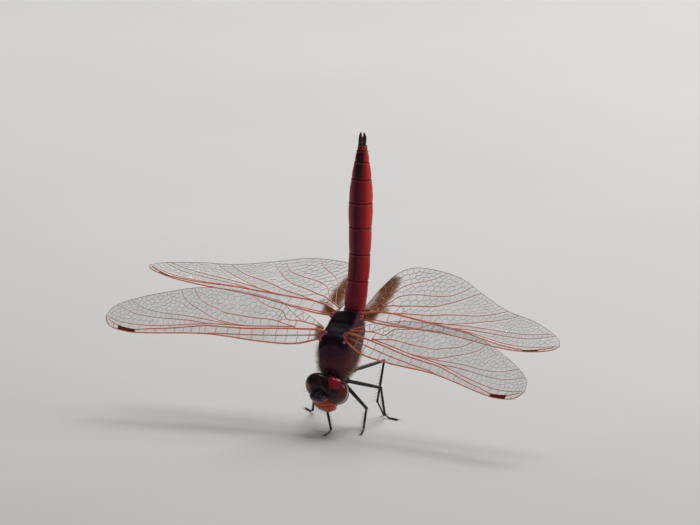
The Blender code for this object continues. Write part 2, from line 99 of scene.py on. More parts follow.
# Thorax stations from back to front as (forward, top, bottom, half width, roundness of the top).
THORAX_STATIONS = [
    (-5.45, 0.05, -3.00, 1.45, 0.60),
    (-5.00, 0.70, -3.50, 2.00, 0.45),
    (-4.30, 0.80, -3.95, 2.20, 0.38),
    (-3.40, 0.65, -4.50, 2.30, 0.38),
    (-2.40, 0.50, -5.00, 2.38, 0.38),
    (-1.40, 0.55, -5.40, 2.40, 0.38),
    (-0.30, 0.55, -5.65, 2.36, 0.42),
    (0.60, 0.25, -5.60, 2.32, 0.55),
    (1.25, -0.50, -5.40, 2.18, 0.75),
    (1.90, -1.65, -4.95, 1.80, 0.90),
    (2.38, -2.55, -4.30, 1.20, 1.0),
]
PROTHORAX_STATIONS = [
    (2.20, -2.85, -4.60, 0.80, 1.0),
    (2.48, -2.75, -4.70, 0.95, 1.0),
    (2.64, -2.80, -4.75, 0.92, 1.0),
    (2.80, -3.10, -4.40, 0.55, 1.0),
]
THORAX_EGG = 0.22
THORAX_WIDEST = 1.03
NECK_FRONT = np.array((2.80, 0.0, -3.75))
NECK_BACK_OF_HEAD = np.array((-0.9, 0.0, 0.25))

# Abdomen, with the length and the width of each of its ten segments.
ABDOMEN_YAW = radians(24)
ABDOMEN_ROOT = np.array((-5.00, 0.0, -2.15))
ABDOMEN_ROOT_HANDLE = np.array((-0.95, 0.0, 0.10))
ABDOMEN_BEND = np.array((-6.75, 0.0, -0.29))
ABDOMEN_BEND_HANDLE = 0.95
ABDOMEN_LEAN_FORWARD = radians(2)
ABDOMEN_LEAN_LEFT = [(0.0, 0.0), (0.25, 0.55), (0.60, 0.75), (1.0, 1.05)]
SEGMENT_LENGTHS = [1.15, 1.50, 3.75, 3.43, 3.44, 3.17, 3.05, 2.21, 1.46, 0.72]
SEGMENT_END_WIDTHS = [2.45, 2.90, 2.82, 2.80, 2.82, 3.02, 3.14, 2.66, 1.98, 1.46, 1.12]
ABDOMEN_FLATNESS = 0.84
CERCUS_LENGTH = 1.60
EPIPROCT_LENGTH = 0.95

# Wings: lengths, hinges and outlines as (out, back) parts of the length.
WING_LENGTHS = {"fore": 28.6, "hind": 28.4}
WING_ROOTS = {"fore": np.array((0.0, 1.55, 0.0)), "hind": np.array((-4.50, 1.82, 0.10))}
WING_FRONTS = {
    "fore": [
        (0.0, 0.0), (0.12, -0.030), (0.28, -0.023), (0.53, 0.008),
        (0.85, 0.006), (0.93, 0.020), (0.972, 0.038), (0.993, 0.064), (1.0, 0.092),
    ],
    "hind": [
        (0.0, 0.0), (0.12, -0.006), (0.40, 0.015), (0.53, 0.014),
        (0.72, 0.004), (0.85, 0.012), (0.94, 0.036), (0.978, 0.056), (0.995, 0.076), (1.0, 0.092),
    ],
}
WING_BACKS = {
    "fore": [
        (0.0, 0.055), (0.10, 0.125), (0.25, 0.190), (0.45, 0.235),
        (0.60, 0.245), (0.75, 0.220), (0.87, 0.190), (0.95, 0.158), (0.985, 0.128), (1.0, 0.092),
    ],
    "hind": [
        (-0.01, 0.067), (0.01, 0.194), (0.05, 0.294), (0.13, 0.340), (0.33, 0.338),
        (0.50, 0.274), (0.65, 0.220), (0.80, 0.196), (0.93, 0.152), (0.98, 0.120), (1.0, 0.092),
    ],
}
# Each wing's sweep forward, raise, and leading edge down at the root and at the tip, in degrees.
WING_POSES = {
    "forewing_left": (19.5, -0.6, 26.4, 18.7),
    "forewing_right": (9.7, 2.5, 26.4, 17.4),
    "hindwing_left": (9.6, 0.5, 12.9, 6.1),
    "hindwing_right": (-6.9, 2.7, 6.0, -16.4),
}
# Long veins from the leading edge back: name, the vein that it leaves, the line that it runs
# into, its course, its radius at the root and at the end, and how far it stands above the wing.
LONG_VEINS = {
    "fore": [
        ("subcosta", "costa", "costa", [
            (0.0, 0.018), (0.10, 0.014), (0.25, 0.010), (0.40, 0.011), (0.50, 0.014),
            (0.535, 0.009),
        ], (0.058, 0.045), -0.15),
        ("radius", "subcosta", None, [
            (0.0, 0.036), (0.05, 0.040), (0.20, 0.041), (0.35, 0.038), (0.45, 0.043),
            (0.53, 0.048), (0.60, 0.042), (0.70, 0.031), (0.80, 0.025), (0.86, 0.021),
            (0.94, 0.044), (0.985, 0.075),
        ], (0.085, 0.045), 0.12),
        ("radial_1", "radius", None, [
            (0.13, 0.050), (0.20, 0.054), (0.35, 0.053), (0.45, 0.058), (0.53, 0.060),
            (0.62, 0.054), (0.70, 0.048), (0.80, 0.046), (0.88, 0.052), (0.95, 0.070),
            (0.99, 0.088),
        ], (0.055, 0.030), -0.04),
        ("radial_2", "radial_1", "trailing", [
            (0.53, 0.060), (0.60, 0.074), (0.68, 0.082), (0.78, 0.090), (0.87, 0.108),
            (0.955, 0.150),
        ], (0.042, 0.024), -0.10),
        ("radial_3", "radial_1", "trailing", [
            (0.42, 0.057), (0.50, 0.072), (0.57, 0.086), (0.65, 0.100), (0.75, 0.112),
            (0.83, 0.134), (0.90, 0.178),
        ], (0.042, 0.024), 0.10),
        ("radial_4", "radial_1", "trailing", [
            (0.34, 0.053), (0.40, 0.060), (0.47, 0.076), (0.51, 0.090), (0.555, 0.118),
            (0.62, 0.158), (0.66, 0.195), (0.68, 0.234),
        ], (0.045, 0.026), -0.10),
        ("median", "radial_1", "trailing", [
            (0.13, 0.050), (0.17, 0.062), (0.22, 0.079), (0.25, 0.086), (0.32, 0.092),
            (0.405, 0.106), (0.46, 0.116), (0.49, 0.133), (0.55, 0.160), (0.59, 0.192),
            (0.62, 0.240),
        ], (0.055, 0.028), 0.10),
        ("cubital", "median", "trailing", [
            (0.0, 0.050), (0.055, 0.069), (0.12, 0.085), (0.175, 0.092), (0.200, 0.130),
            (0.26, 0.152), (0.32, 0.184), (0.37, 0.226),
        ], (0.060, 0.028), -0.10),
        ("anal", "cubital", "trailing", [
            (0.10, 0.081), (0.14, 0.112), (0.17, 0.138), (0.20, 0.165), (0.23, 0.19),
        ], (0.040, 0.026), 0.04),
    ],
    "hind": [
        ("subcosta", "costa", "costa", [
            (0.0, 0.016), (0.10, 0.012), (0.29, 0.014), (0.41, 0.025), (0.455, 0.018),
        ], (0.058, 0.045), -0.15),
        ("radius", "subcosta", None, [
            (0.0, 0.025), (0.06, 0.048), (0.135, 0.060), (0.20, 0.059), (0.30, 0.055),
            (0.40, 0.050), (0.455, 0.048), (0.53, 0.045), (0.62, 0.034), (0.72, 0.020),
            (0.84, 0.018), (0.87, 0.022), (0.93, 0.045), (0.98, 0.072),
        ], (0.085, 0.045), 0.12),
        ("radial_1", "radius", None, [
            (0.145, 0.064), (0.20, 0.065), (0.30, 0.062), (0.40, 0.058), (0.455, 0.056),
            (0.53, 0.055), (0.62, 0.046), (0.72, 0.036), (0.84, 0.040), (0.93, 0.062),
            (0.985, 0.085),
        ], (0.055, 0.030), -0.04),
        ("radial_2", "radial_1", "trailing", [
            (0.455, 0.056), (0.53, 0.068), (0.62, 0.074), (0.74, 0.080), (0.84, 0.094),
            (0.95, 0.142),
        ], (0.042, 0.024), -0.10),
        ("radial_3", "radial_1", "trailing", [
            (0.33, 0.061), (0.40, 0.066), (0.50, 0.080), (0.62, 0.092), (0.74, 0.101),
            (0.84, 0.118), (0.93, 0.150),
        ], (0.042, 0.024), 0.10),
        ("radial_4", "radial_1", "trailing", [
            (0.29, 0.062), (0.39, 0.068), (0.49, 0.096), (0.57, 0.128), (0.62, 0.148),
            (0.68, 0.180), (0.72, 0.208),
        ], (0.045, 0.026), -0.10),
        ("median", "radial_1", "trailing", [
            (0.145, 0.064), (0.215, 0.078), (0.305, 0.093), (0.40, 0.122), (0.47, 0.137),
            (0.53, 0.150), (0.60, 0.180), (0.655, 0.218),
        ], (0.055, 0.028), 0.10),
        ("cubital", "median", "trailing", [
            (0.0, 0.055), (0.03, 0.070), (0.06, 0.085), (0.105, 0.106), (0.145, 0.114),
            (0.22, 0.134), (0.30, 0.152), (0.35, 0.180), (0.40, 0.216), (0.45, 0.262),
            (0.485, 0.282),
        ], (0.065, 0.028), -0.10),
        ("loop_front", "cubital", "trailing", [
            (0.06, 0.085), (0.09, 0.118), (0.12, 0.160), (0.19, 0.190), (0.28, 0.206),
            (0.35, 0.228), (0.395, 0.27), (0.42, 0.308),
        ], (0.045, 0.028), 0.08),
        ("loop_back", "cubital", "trailing", [
            (0.03, 0.070), (0.05, 0.11), (0.075, 0.165), (0.10, 0.215), (0.15, 0.255),
            (0.21, 0.29), (0.26, 0.338),
        ], (0.045, 0.028), -0.06),
    ],
}
# Straight cross-veins as (first line, second line, places along the wing).
CROSS_VEINS = {
    "fore": [
        ("costa", "subcosta", (0.065, 0.115, 0.165, 0.215, 0.27, 0.325, 0.38, 0.435, 0.49)),
        ("subcosta", "radius", (0.065, 0.115, 0.165, 0.215, 0.27, 0.325, 0.38, 0.435, 0.49)),
        ("costa", "radius", (0.565, 0.60, 0.64, 0.68, 0.72, 0.765, 0.81, 0.855, 0.935, 0.96)),
        ("radius", "radial_1", (
            0.18, 0.24, 0.31, 0.38, 0.45, 0.535, 0.575, 0.615, 0.66, 0.70, 0.745, 0.79,
            0.84, 0.885, 0.925, 0.955,
        )),
        ("costa", "subcosta", (0.533,)),
        ("costa", "radius", (0.54,)),
    ],
    "hind": [
        ("costa", "subcosta", (0.07, 0.13, 0.19, 0.25, 0.31, 0.37, 0.42)),
        ("subcosta", "radius", (0.07, 0.13, 0.19, 0.25, 0.31, 0.37, 0.42)),
        ("costa", "radius", (0.49, 0.535, 0.58, 0.63, 0.68, 0.73, 0.78, 0.825, 0.85, 0.92, 0.95)),
        ("radius", "radial_1", (
            0.21, 0.28, 0.35, 0.41, 0.455, 0.50, 0.545, 0.59, 0.635, 0.68, 0.73, 0.78,
            0.83, 0.875, 0.92, 0.955,
        )),
        ("costa", "radius", (0.458,)),
    ],
}
# Where a thick vein joins the arculus and closes the triangle, as pairs of (out, back).
BRACES = {
    "fore": [
        ((0.13, 0.041), (0.13, 0.0865)),
        ((0.176, 0.092), (0.220, 0.079)),
        ((0.220, 0.079), (0.200, 0.130)),
    ],
    "hind": [((0.145, 0.060), (0.148, 0.114)), ((0.212, 0.078), (0.148, 0.114))],
}
TRIANGLES = {
    "fore": [(0.176, 0.092), (0.220, 0.079), (0.200, 0.130)],
    "hind": [(0.146, 0.064), (0.212, 0.078), (0.148, 0.114)],
}
PTEROSTIGMAS = {"fore": (0.855, 0.935), "hind": (0.850, 0.920)}

# Legs: hip in the thorax's frame, then knee, ankle and toe in the body's.
LEGS = {
    "fore_left": ((2.20, 1.20, -4.90), (2.69, 0.80, 2.20), (2.35, -2.30, 0.42), (2.00, -4.90)),
    "fore_right": ((1.98, -0.82, -5.12), (-2.45, 1.00, 2.95), (-1.75, -3.20, 0.42), (-2.50, -5.50)),
    "mid_left": ((0.95, 1.15, -5.70), (4.50, 3.00, 4.35), (5.00, 5.10, 0.42), (6.50, 3.60)),
    "mid_right": ((1.00, -1.10, -5.60), (-3.60, 6.30, 4.16), (-4.05, 8.00, 0.42), (-4.90, 10.20)),
    "hind_left": ((-1.10, 1.25, -5.50), (4.91, 6.50, 7.08), (4.06, 5.50, 2.03), (5.05, 6.60)),
    "hind_right": (
        (-1.10, -1.25, -5.50), (-2.05, 9.20, 6.40), (-2.60, 12.20, 0.90), (-3.00, 14.30),
    ),
}
COXA_LENGTH = 1.1
COXA_TILT = (0.25, 0.25)
# How far along the foot its heel touches the floor, which moves on as the ankle stands higher.
LOW_ANKLE = 0.42
HEEL_AT = 0.35
HEEL_SHIFT = 0.28
FURTHEST_HEEL = 0.8

# Head, in its own frame around the point between the eyes' centres.
EYE_CENTRE = np.array((0.15, 1.02, 0.10))
EYE_RADII = np.array((1.50, 2.05, 2.02))
CAPSULE_CENTRE = np.array((-0.05, 0.0, -0.25))
CAPSULE_RADII = np.array((1.05, 2.20, 1.60))
FRONS_CENTRE = np.array((1.98, 0.0, 0.40))
FRONS_RADII = np.array((0.80, 1.36, 0.66))
FACE_STATIONS = [
    (-2.50, 1.75, 1.00),
    (-1.85, 2.15, 1.55),
    (-1.15, 2.25, 1.65),
    (-0.45, 2.20, 1.25),
]
FACE_DEPTH = 1.7
LABIUM_CENTRE = np.array((0.45, 0.0, -1.90))
LABIUM_RADII = np.array((1.05, 1.30, 0.60))
ANTENNA_BASE = np.array((1.72, 0.66, 1.00))
ANTENNA_TIP = np.array((3.05, 1.30, 1.85))

CAMERA_TARGET = np.array((2.255, -1.29, 21.03))
CAMERA_DISTANCE = 2430.6
CAMERA_ELEVATION = radians(12)
CAMERA_LENS = 1000.0


def facing(yaw, pitch, roll):
    """A rotation whose columns are forward, left and up for an animal that looks towards -Y."""
    forward = Vector((-sin(yaw) * cos(pitch), -cos(yaw) * cos(pitch), -sin(pitch)))
    left = Vector((cos(yaw), -sin(yaw), 0.0))
    up = forward.cross(left)
    left, up = left * cos(roll) + up * sin(roll), up * cos(roll) - left * sin(roll)
    return np.array(Matrix((forward, left, up)).transposed())


THORAX_TURN = facing(THORAX_YAW, THORAX_PITCH, 0.0)
HEAD_TURN = facing(HEAD_YAW, HEAD_PITCH, HEAD_ROLL)


def in_thorax(points):
    """Points of the thorax's frame, placed in the body's."""
    return np.asarray(points) @ THORAX_TURN.T + THORAX_AT


def in_head(points):
    """Points of the head's frame, placed in the body's."""
    return np.asarray(points) @ HEAD_TURN.T + in_thorax(HEAD_FROM_THORAX)


def smooth(knots, at):
    """Values at places on a smooth curve through (place, value) knots in rising order."""
    places, values = np.array(knots, float).T
    rise = np.diff(values) / np.diff(places)
    across = (values[2:] - values[:-2]) / (places[2:] - places[:-2])
    slopes = np.concatenate([rise[:1], across, rise[-1:]])
    at = np.clip(at, places[0], places[-1])
    i = np.clip(np.searchsorted(places, at, side="right") - 1, 0, len(places) - 2)
    width = places[i + 1] - places[i]
    t = (at - places[i]) / width
    value = (2 * t**3 - 3 * t**2 + 1) * values[i] + (3 * t**2 - 2 * t**3) * values[i + 1]
    bend = (t**3 - 2 * t**2 + t) * slopes[i] + (t**3 - t**2) * slopes[i + 1]
    return value + width * bend


def ease(low, high, value):
    """0 below low, 1 above high, and a smooth rise between."""
    t = np.clip((np.asarray(value, float) - low) / (high - low), 0.0, 1.0)
    return t * t * (3 - 2 * t)


def hill(distance, reach):
    """A smooth hump: 1 at no distance, and nearly 0 at twice the reach."""
    return np.exp(-((np.asarray(distance, float) / reach) ** 2))


def unit(vectors):
    """The same directions with a length of 1."""
    length = np.linalg.norm(vectors, axis=-1, keepdims=True)
    return vectors / np.maximum(length, 1e-12)


def bent(value, power):
    """The value's size raised to a power, with its sign kept."""
    return np.sign(value) * np.abs(value) ** power


def even_angles(count):
    """Angles at even steps once round a circle."""
    return 2 * pi * np.arange(count) / count


def through(stations, column, at):
    """A column of a table of stations, read at places between them."""
    return smooth(np.array(stations)[:, (0, column)], at)


def grid_unwrap(rows):
    """The unwrap of closed rows, round each row and along them."""
    count, sides = rows.shape[:2]
    along, around = np.meshgrid(np.arange(count), np.arange(sides), indexing="ij")
    return np.stack([around / sides, 0.02 + 0.96 * along / (count - 1)], -1)


class Skin:
    """Points in the body's frame, faces, unwrap, and the values that the materials read."""

    def __init__(self, points, faces, unwrap, **values):
        self.points = np.asarray(points, float)
        self.faces = [list(face) for face in faces]
        self.unwrap = unwrap
        self.values = values
        if self.volume() < 0:
            self.faces = [face[::-1] for face in self.faces]

    def volume(self):
        """Six times the volume inside, which is below 0 where the faces point inwards."""
        fans = [
            (face[0], face[k], face[k + 1]) for face in self.faces for k in range(1, len(face) - 1)
        ]
        a, b, c = self.points[np.array(fans)].transpose(1, 0, 2)
        return np.einsum("ij,ij->", a, np.cross(b, c))


def joined(skins):
    """Several skins as one. They all carry the same values."""
    points = np.concatenate([skin.points for skin in skins])
    offsets = np.cumsum([0] + [len(skin.points) for skin in skins])
    faces = [
        [corner + offset for corner in face]
        for skin, offset in zip(skins, offsets)
        for face in skin.faces
    ]
    unwrap = np.concatenate([skin.unwrap for skin in skins])
    values = {
        name: np.concatenate([skin.values[name] for skin in skins]) for name in skins[0].values
    }
    return Skin(points, faces, unwrap, **values)


def loft_skin(rows, **values):
    """A closed skin over rows of points round a path, with a pole at the middle of each end."""
    count, sides = rows.shape[:2]
    points = np.concatenate([rows.reshape(-1, 3), rows[:1].mean(1), rows[-1:].mean(1)])
    faces = []
    for row in range(0, (count - 1) * sides, sides):
        for j in range(sides):
            k = (j + 1) % sides
            faces.append((row + j, row + k, row + sides + k, row + sides + j))
    first, last = count * sides, count * sides + 1
    for j in range(sides):
        k = (j + 1) % sides
        faces.append((first, k, j))
        faces.append((last, (count - 1) * sides + j, (count - 1) * sides + k))
    unwrap = np.concatenate([grid_unwrap(rows).reshape(-1, 2), [[0.5, 0.0]], [[0.5, 1.0]]])
    full = {
        name: np.concatenate([np.concatenate(value), value[:1].mean(1), value[-1:].mean(1)])
        for name, value in values.items()
    }
    return Skin(points, faces, unwrap, **full)


def row_normals(rows):
    """Directions outwards at each point of closed rows."""
    along = np.gradient(rows, axis=0)
    around = np.roll(rows, -1, 1) - np.roll(rows, 1, 1)
    normals = unit(np.cross(around, along))
    outwards = rows - rows.mean(1, keepdims=True)
    facing_out = np.einsum("ijk,ijk->", normals, outwards)
    return normals if facing_out > 0 else -normals


def tube_rows(path, radii, sides):
    """Rings round a path, square to it."""
    angles = 2 * pi * (np.arange(sides) + 0.5) / sides
    rows = []
    for point, step, radius in zip(path, np.gradient(path, axis=0), radii):
        turn = np.array(Vector(step).to_track_quat("Z", "Y").to_matrix())
        ring = np.stack([np.cos(angles) * radius, np.sin(angles) * radius, np.zeros(sides)], -1)
        rows.append(point + ring @ turn.T)
    return np.array(rows)


# How a tube's end is drawn in, as (part of the radius beyond the end, part of the radius left).
END_RINGS = np.array(((0.45, 0.89), (0.80, 0.60), (0.96, 0.28)))


def rounded_tube(path, radii, sides):
    """Rings round a path whose two ends are drawn in, so that it closes without an edge."""
    for _ in range(2):
        outwards = unit(path[0] - path[1]) * radii[0]
        points = path[0] + outwards * END_RINGS[::-1, :1]
        path = np.concatenate([points, path])[::-1]
        radii = np.concatenate([radii[0] * END_RINGS[::-1, 1], radii])[::-1]
    return tube_rows(path, radii, sides)


def ball_rows(centre, radii, count, sides, power=1.0):
    """Rings of a rounded body from its bottom to its top. A power below 1 makes it squarer."""
    height = np.linspace(-pi / 2 + 0.06, pi / 2 - 0.06, count)[:, None]
    angles = even_angles(sides)
    x = np.cos(height) * np.cos(angles)
    y = np.cos(height) * np.sin(angles)
    z = np.sin(height) * np.ones(sides)
    return centre + bent(np.stack([x, y, z], -1), power) * radii


def corner_unwrap(skin, loop_corners, loop_starts):
    """The unwrap at each face corner, with faces that cross the seam kept whole."""
    spread = skin.unwrap[loop_corners].copy()
    ends = np.append(loop_starts[1:], len(loop_corners))
    lowest = np.minimum.reduceat(spread[:, 0], loop_starts)
    highest = np.maximum.reduceat(spread[:, 0], loop_starts)
    crossing = np.repeat(highest - lowest > 0.5, ends - loop_starts)
    spread[crossing & (spread[:, 0] < 0.5), 0] += 1.0
    spread[:, 0] /= SEAM_ROOM
    return spread


def linked(name, data):
    """A new object in the scene."""
    made = bpy.data.objects.new(name, data)
    bpy.context.scene.collection.objects.link(made)
    return made


def mesh_of(name, points, edges, faces, values):
    """A mesh in metres from points in the body's frame, with the values stored at them."""
    mesh = bpy.data.meshes.new(name)
    mesh.from_pydata(((points + BODY_SHIFT) * MM).tolist(), edges, faces)
    for label, value in values.items():
        vectors = value.ndim == 2
        layer = mesh.attributes.new(label, "FLOAT_VECTOR" if vectors else "FLOAT", "POINT")
        plain = value.astype(np.float32).ravel()
        layer.data.foreach_set("vector" if vectors else "value", plain)
    return mesh


def fit_piece(piece, slot, *nodes):
    """Hands a finished piece to the frame: what it rides on and what it stands for. The slot is not
    used.
    """
    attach(piece, BODY)
    if nodes:
        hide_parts(*nodes)


def fit_skin(name, skin, material, slot, *nodes):
    """Makes a skin into a smooth-shaded, unwrapped piece and hands it to the frame."""
    mesh = mesh_of(name, skin.points, [], skin.faces, skin.values)
    mesh.shade_smooth()
    corners = np.zeros(len(mesh.loops), np.int32)
    mesh.loops.foreach_get("vertex_index", corners)
    starts = np.zeros(len(mesh.polygons), np.int32)
    mesh.polygons.foreach_get("loop_start", starts)
    layer = mesh.uv_layers.new(name=UNWRAP)
    unwrap = corner_unwrap(skin, corners, starts).astype(np.float32)
    layer.data.foreach_set("uv", unwrap.ravel())
    mesh.materials.append(material)
    fit_piece(linked(name, mesh), slot, *nodes)


# Materials.


class Tree:
    """A node tree that is built step by step."""

    def __init__(self, tree):
        self.tree = tree

    def node(self, kind, **settings):
        made = self.tree.nodes.new(kind)
        for setting, value in settings.items():
            setattr(made, setting, value)
        return made

    def feed(self, socket, value):
        """Joins an output to a socket, or sets the socket to a plain value."""
        if isinstance(value, bpy.types.NodeSocket):
            self.tree.links.new(value, socket)
        elif isinstance(value, tuple) and len(value) == 3 and socket.type == "RGBA":
            socket.default_value = (*value, 1.0)
        else:
            socket.default_value = value

    def maths(self, operation, a, b=0.0, kind="ShaderNodeMath"):
        made = self.node(kind, operation=operation)
        self.feed(made.inputs[0], a)
        self.feed(made.inputs[1], b)
        return made.outputs[0]

    def times(self, a, b):
        return self.maths("MULTIPLY", a, b)


class Finish(Tree):
    """A material built from one Principled shader and the nodes that feed it."""

    def __init__(self, name, colour, roughness, **sockets):
        self.material = bpy.data.materials.new(name)
        self.material.use_nodes = True
        super().__init__(self.material.node_tree)
        self.shader = self.tree.nodes["Principled BSDF"]
        self.colour = tuple(colour)
        self.set("Base Color", self.colour)
        self.set("Roughness", roughness)
        for socket, value in sockets.items():
            self.set(socket.replace("_", " "), value)

    def set(self, socket, value):
        self.feed(self.shader.inputs[socket], value)

    def value(self, name):
        """A number stored at the points of the piece."""
        return self.node("ShaderNodeAttribute", attribute_name=name).outputs["Fac"]

    def parts(self, name):
        """The three numbers of a vector stored at the points of the piece."""
        split = self.node("ShaderNodeSeparateXYZ")
        stored = self.node("ShaderNodeAttribute", attribute_name=name)
        self.feed(split.inputs[0], stored.outputs["Vector"])
        return split.outputs

    def texture(self, kind, scale, output, **sockets):
        """A pattern in the piece's own space."""
        made = self.node(kind)
        place = self.node("ShaderNodeTexCoord").outputs["Object"]
        for socket, value in {"Vector": place, "Scale": scale, **sockets}.items():
            self.feed(made.inputs[socket], value)
        return made.outputs[output]

    def noise(self, scale, detail=3.0):
        return self.texture("ShaderNodeTexNoise", scale, "Fac", Detail=detail)

    def cells(self, scale):
        return self.texture("ShaderNodeTexVoronoi", scale, "Distance")

    def spread(self, value, low, high, to_low=0.0, to_high=1.0):
        """The value's range from low to high, stretched to another range and held at its ends."""
        made = self.node("ShaderNodeMapRange", interpolation_type="SMOOTHSTEP")
        for socket, number in zip(made.inputs[:5], (value, low, high, to_low, to_high)):
            self.feed(socket, number)
        return made.outputs["Result"]

    def blotch(self, scale, detail, low, high, to_low=0.0, to_high=1.0):
        """Noise whose range from low to high is stretched to another range."""
        return self.spread(self.noise(scale, detail), low, high, to_low, to_high)

    def both(self, *factors):
        """How far all the factors hold."""
        whole = factors[0]
        for factor in factors[1:]:
            whole = self.times(whole, factor)
        return whole

    def blend(self, factor, a, b):
        """Colour a where the factor is 0, and colour b where it is 1."""
        made = self.node("ShaderNodeMix", data_type="RGBA")
        for socket, value in zip((made.inputs[0], made.inputs[6], made.inputs[7]), (factor, a, b)):
            self.feed(socket, value)
        return made.outputs[2]

    def paint(self, factor, colour, strength=1.0):
        """Lays a colour over what is there, where the factor says, and as strongly as given."""
        if strength < 1.0:
            factor = self.times(factor, strength)
        self.colour = self.blend(factor, self.colour, colour)
        self.set("Base Color", self.colour)

    def relief(self, height, distance, strength=1.0, over=None):
        made = self.node("ShaderNodeBump")
        self.feed(made.inputs["Height"], height)
        self.feed(made.inputs["Distance"], distance * MM)
        self.feed(made.inputs["Strength"], strength)
        if over is not None:
            self.feed(made.inputs["Normal"], over)
        return made.outputs["Normal"]

    def grain(self, scale, detail, distance, strength=1.0, pits=None):
        """Fine relief, over pits given as their scale, depth and strength."""
        under = self.relief(self.cells(pits[0]), *pits[1:]) if pits else None
        self.set("Normal", self.relief(self.noise(scale, detail), distance, strength, under))

    def uneven(self, scale, low, high):
        """Roughness that wanders between two values."""
        self.set("Roughness", self.blotch(scale, 3.0, 0.3, 0.7, low, high))


# Geometry node groups.


class Nodes(Tree):
    """A geometry node group with named inputs."""

    def __init__(self, name, inputs):
        super().__init__(bpy.data.node_groups.new(name, "GeometryNodeTree"))
        face = self.tree.interface
        face.new_socket("Geometry", in_out="INPUT", socket_type="NodeSocketGeometry")
        face.new_socket("Geometry", in_out="OUTPUT", socket_type="NodeSocketGeometry")
        for label, (kind, default) in inputs.items():
            socket = face.new_socket(label, in_out="INPUT", socket_type="NodeSocket" + kind)
            if default is not None:
                socket.default_value = default
        self.group_input = self.node("NodeGroupInput")
        self.group_output = self.node("NodeGroupOutput")

    def given(self, label):
        return self.group_input.outputs[label]

    def add(self, kind, settings=None, **sockets):
        """The first output of a node whose sockets, named in lower case, are fed or set."""
        made = self.node(kind, **(settings or {}))
        for label, value in sockets.items():
            named = (s for s in made.inputs if s.name.lower().replace(" ", "_") == label)
            self.feed(next(s for s in named if s.enabled), value)
        return made.outputs[0]

    def stored(self, name, kind="FLOAT"):
        made = self.node("GeometryNodeInputNamedAttribute", data_type=kind)
        self.feed(made.inputs["Name"], name)
        return next(s for s in made.outputs if s.enabled and s.name == "Attribute")

    def store(self, geometry, name, value, kind="FLOAT", domain="POINT"):
        return self.add(
            "GeometryNodeStoreNamedAttribute", {"data_type": kind, "domain": domain},
            geometry=geometry, name=name, value=value,
        )

    def tube(self, curve, circle, width, place):
        """A curve with a width, which keeps how far along and round it each point stands."""
        return self.add(
            "GeometryNodeCurveToMesh", curve=self.store(curve, "along", place),
            profile_curve=self.store(circle, "turn", place), scale=width, fill_caps=True,
        )

    def finish(self, geometry):
        """Stores the unwrap, a small patch at the root's place on the skin, and ends the group."""
        local = self.add(
            "ShaderNodeCombineXYZ", x=self.stored("turn"), y=self.stored("along")
        )
        vectors = "ShaderNodeVectorMath"
        patch = self.maths("MULTIPLY", local, (UNWRAP_PATCH,) * 3, vectors)
        where = self.maths("ADD", self.stored("root_map", "FLOAT_VECTOR"), patch, vectors)
        smoothed = self.add("GeometryNodeSetShadeSmooth", geometry=geometry)
        unwrapped = self.store(smoothed, UNWRAP, where, "FLOAT2", "CORNER")
        realized = self.add("GeometryNodeRealizeInstances", geometry=unwrapped)
        dressed = self.add(
            "GeometryNodeSetMaterial", geometry=realized, material=self.given("Material")
        )
        self.feed(self.group_output.inputs[0], dressed)
        return self.tree


def vein_tree():
    """Turns the edges of a mesh into closed tubes, as thick as their points say."""
    nodes = Nodes("Vein tubes", {
        "Thickness": ("Float", 1.0),
        "Sides": ("Int", 6),
        "Material": ("Material", None),
    })
    curve = nodes.add("GeometryNodeMeshToCurve", mesh=nodes.given("Geometry"))
    circle = nodes.add(
        "GeometryNodeCurvePrimitiveCircle", resolution=nodes.given("Sides"), radius=MM
    )
    width = nodes.times(nodes.stored("radius"), nodes.given("Thickness"))
    place = nodes.add("GeometryNodeSplineParameter")
    return nodes.finish(nodes.tube(curve, circle, width, place))


def bristle_tree():
    """Stands a tapered, bent bristle on every point, along the point's own direction.

    Splay opens two shorter hairs beside each bristle.
    """
    nodes = Nodes("Bristles", {
        "Thickness": ("Float", 0.016),
        "Bend": ("Float", 0.25),
        "Splay": ("Float", 0.0),
        "Sides": ("Int", 3),
        "Steps": ("Int", 3),
        "Material": ("Material", None),
    })
    tip = nodes.add("ShaderNodeCombineXYZ", x=nodes.given("Bend"), z=0.96)
    curve = nodes.add(
        "GeometryNodeCurveQuadraticBezier", resolution=nodes.given("Steps"),
        start=(0.0, 0.0, 0.0), middle=(0.0, 0.0, 0.55), end=tip,
    )
    circle = nodes.add(
        "GeometryNodeCurvePrimitiveCircle", resolution=nodes.given("Sides"), radius=1.0
    )
    place = nodes.add("GeometryNodeSplineParameter")
    left_over = nodes.maths("SUBTRACT", 1.0, nodes.times(place, 0.88))
    width = nodes.times(left_over, nodes.given("Thickness"))
    blade = nodes.tube(curve, circle, width, place)
    blades = nodes.node("GeometryNodeJoinGeometry")
    nodes.feed(blades.inputs[0], blade)
    for side in (1.0, -1.0):
        lean = nodes.times(nodes.given("Splay"), side)
        turn = nodes.add("ShaderNodeCombineXYZ", x=lean, y=nodes.times(lean, 0.6 * side))
        away = nodes.add(
            "GeometryNodeTransform", geometry=blade, rotation=turn,
            scale=(1.0, 1.0, 0.84 + 0.06 * side),
        )
        nodes.feed(blades.inputs[0], away)
    points = nodes.add("GeometryNodeMeshToPoints", mesh=nodes.given("Geometry"))
    stand = nodes.add(
        "FunctionNodeAlignRotationToVector", {"axis": "Z"},
        vector=nodes.stored("lean", "FLOAT_VECTOR"),
    )
    droop = nodes.add(
        "FunctionNodeAlignRotationToVector", {"axis": "X", "pivot_axis": "Z"},
        rotation=stand, vector=nodes.stored("droop", "FLOAT_VECTOR"),
    )
    tufts = nodes.add(
        "GeometryNodeInstanceOnPoints", points=points, instance=blades.outputs[0],
        rotation=droop, scale=nodes.stored("span"),
    )
    return nodes.finish(nodes.add("GeometryNodeRealizeInstances", geometry=tufts))


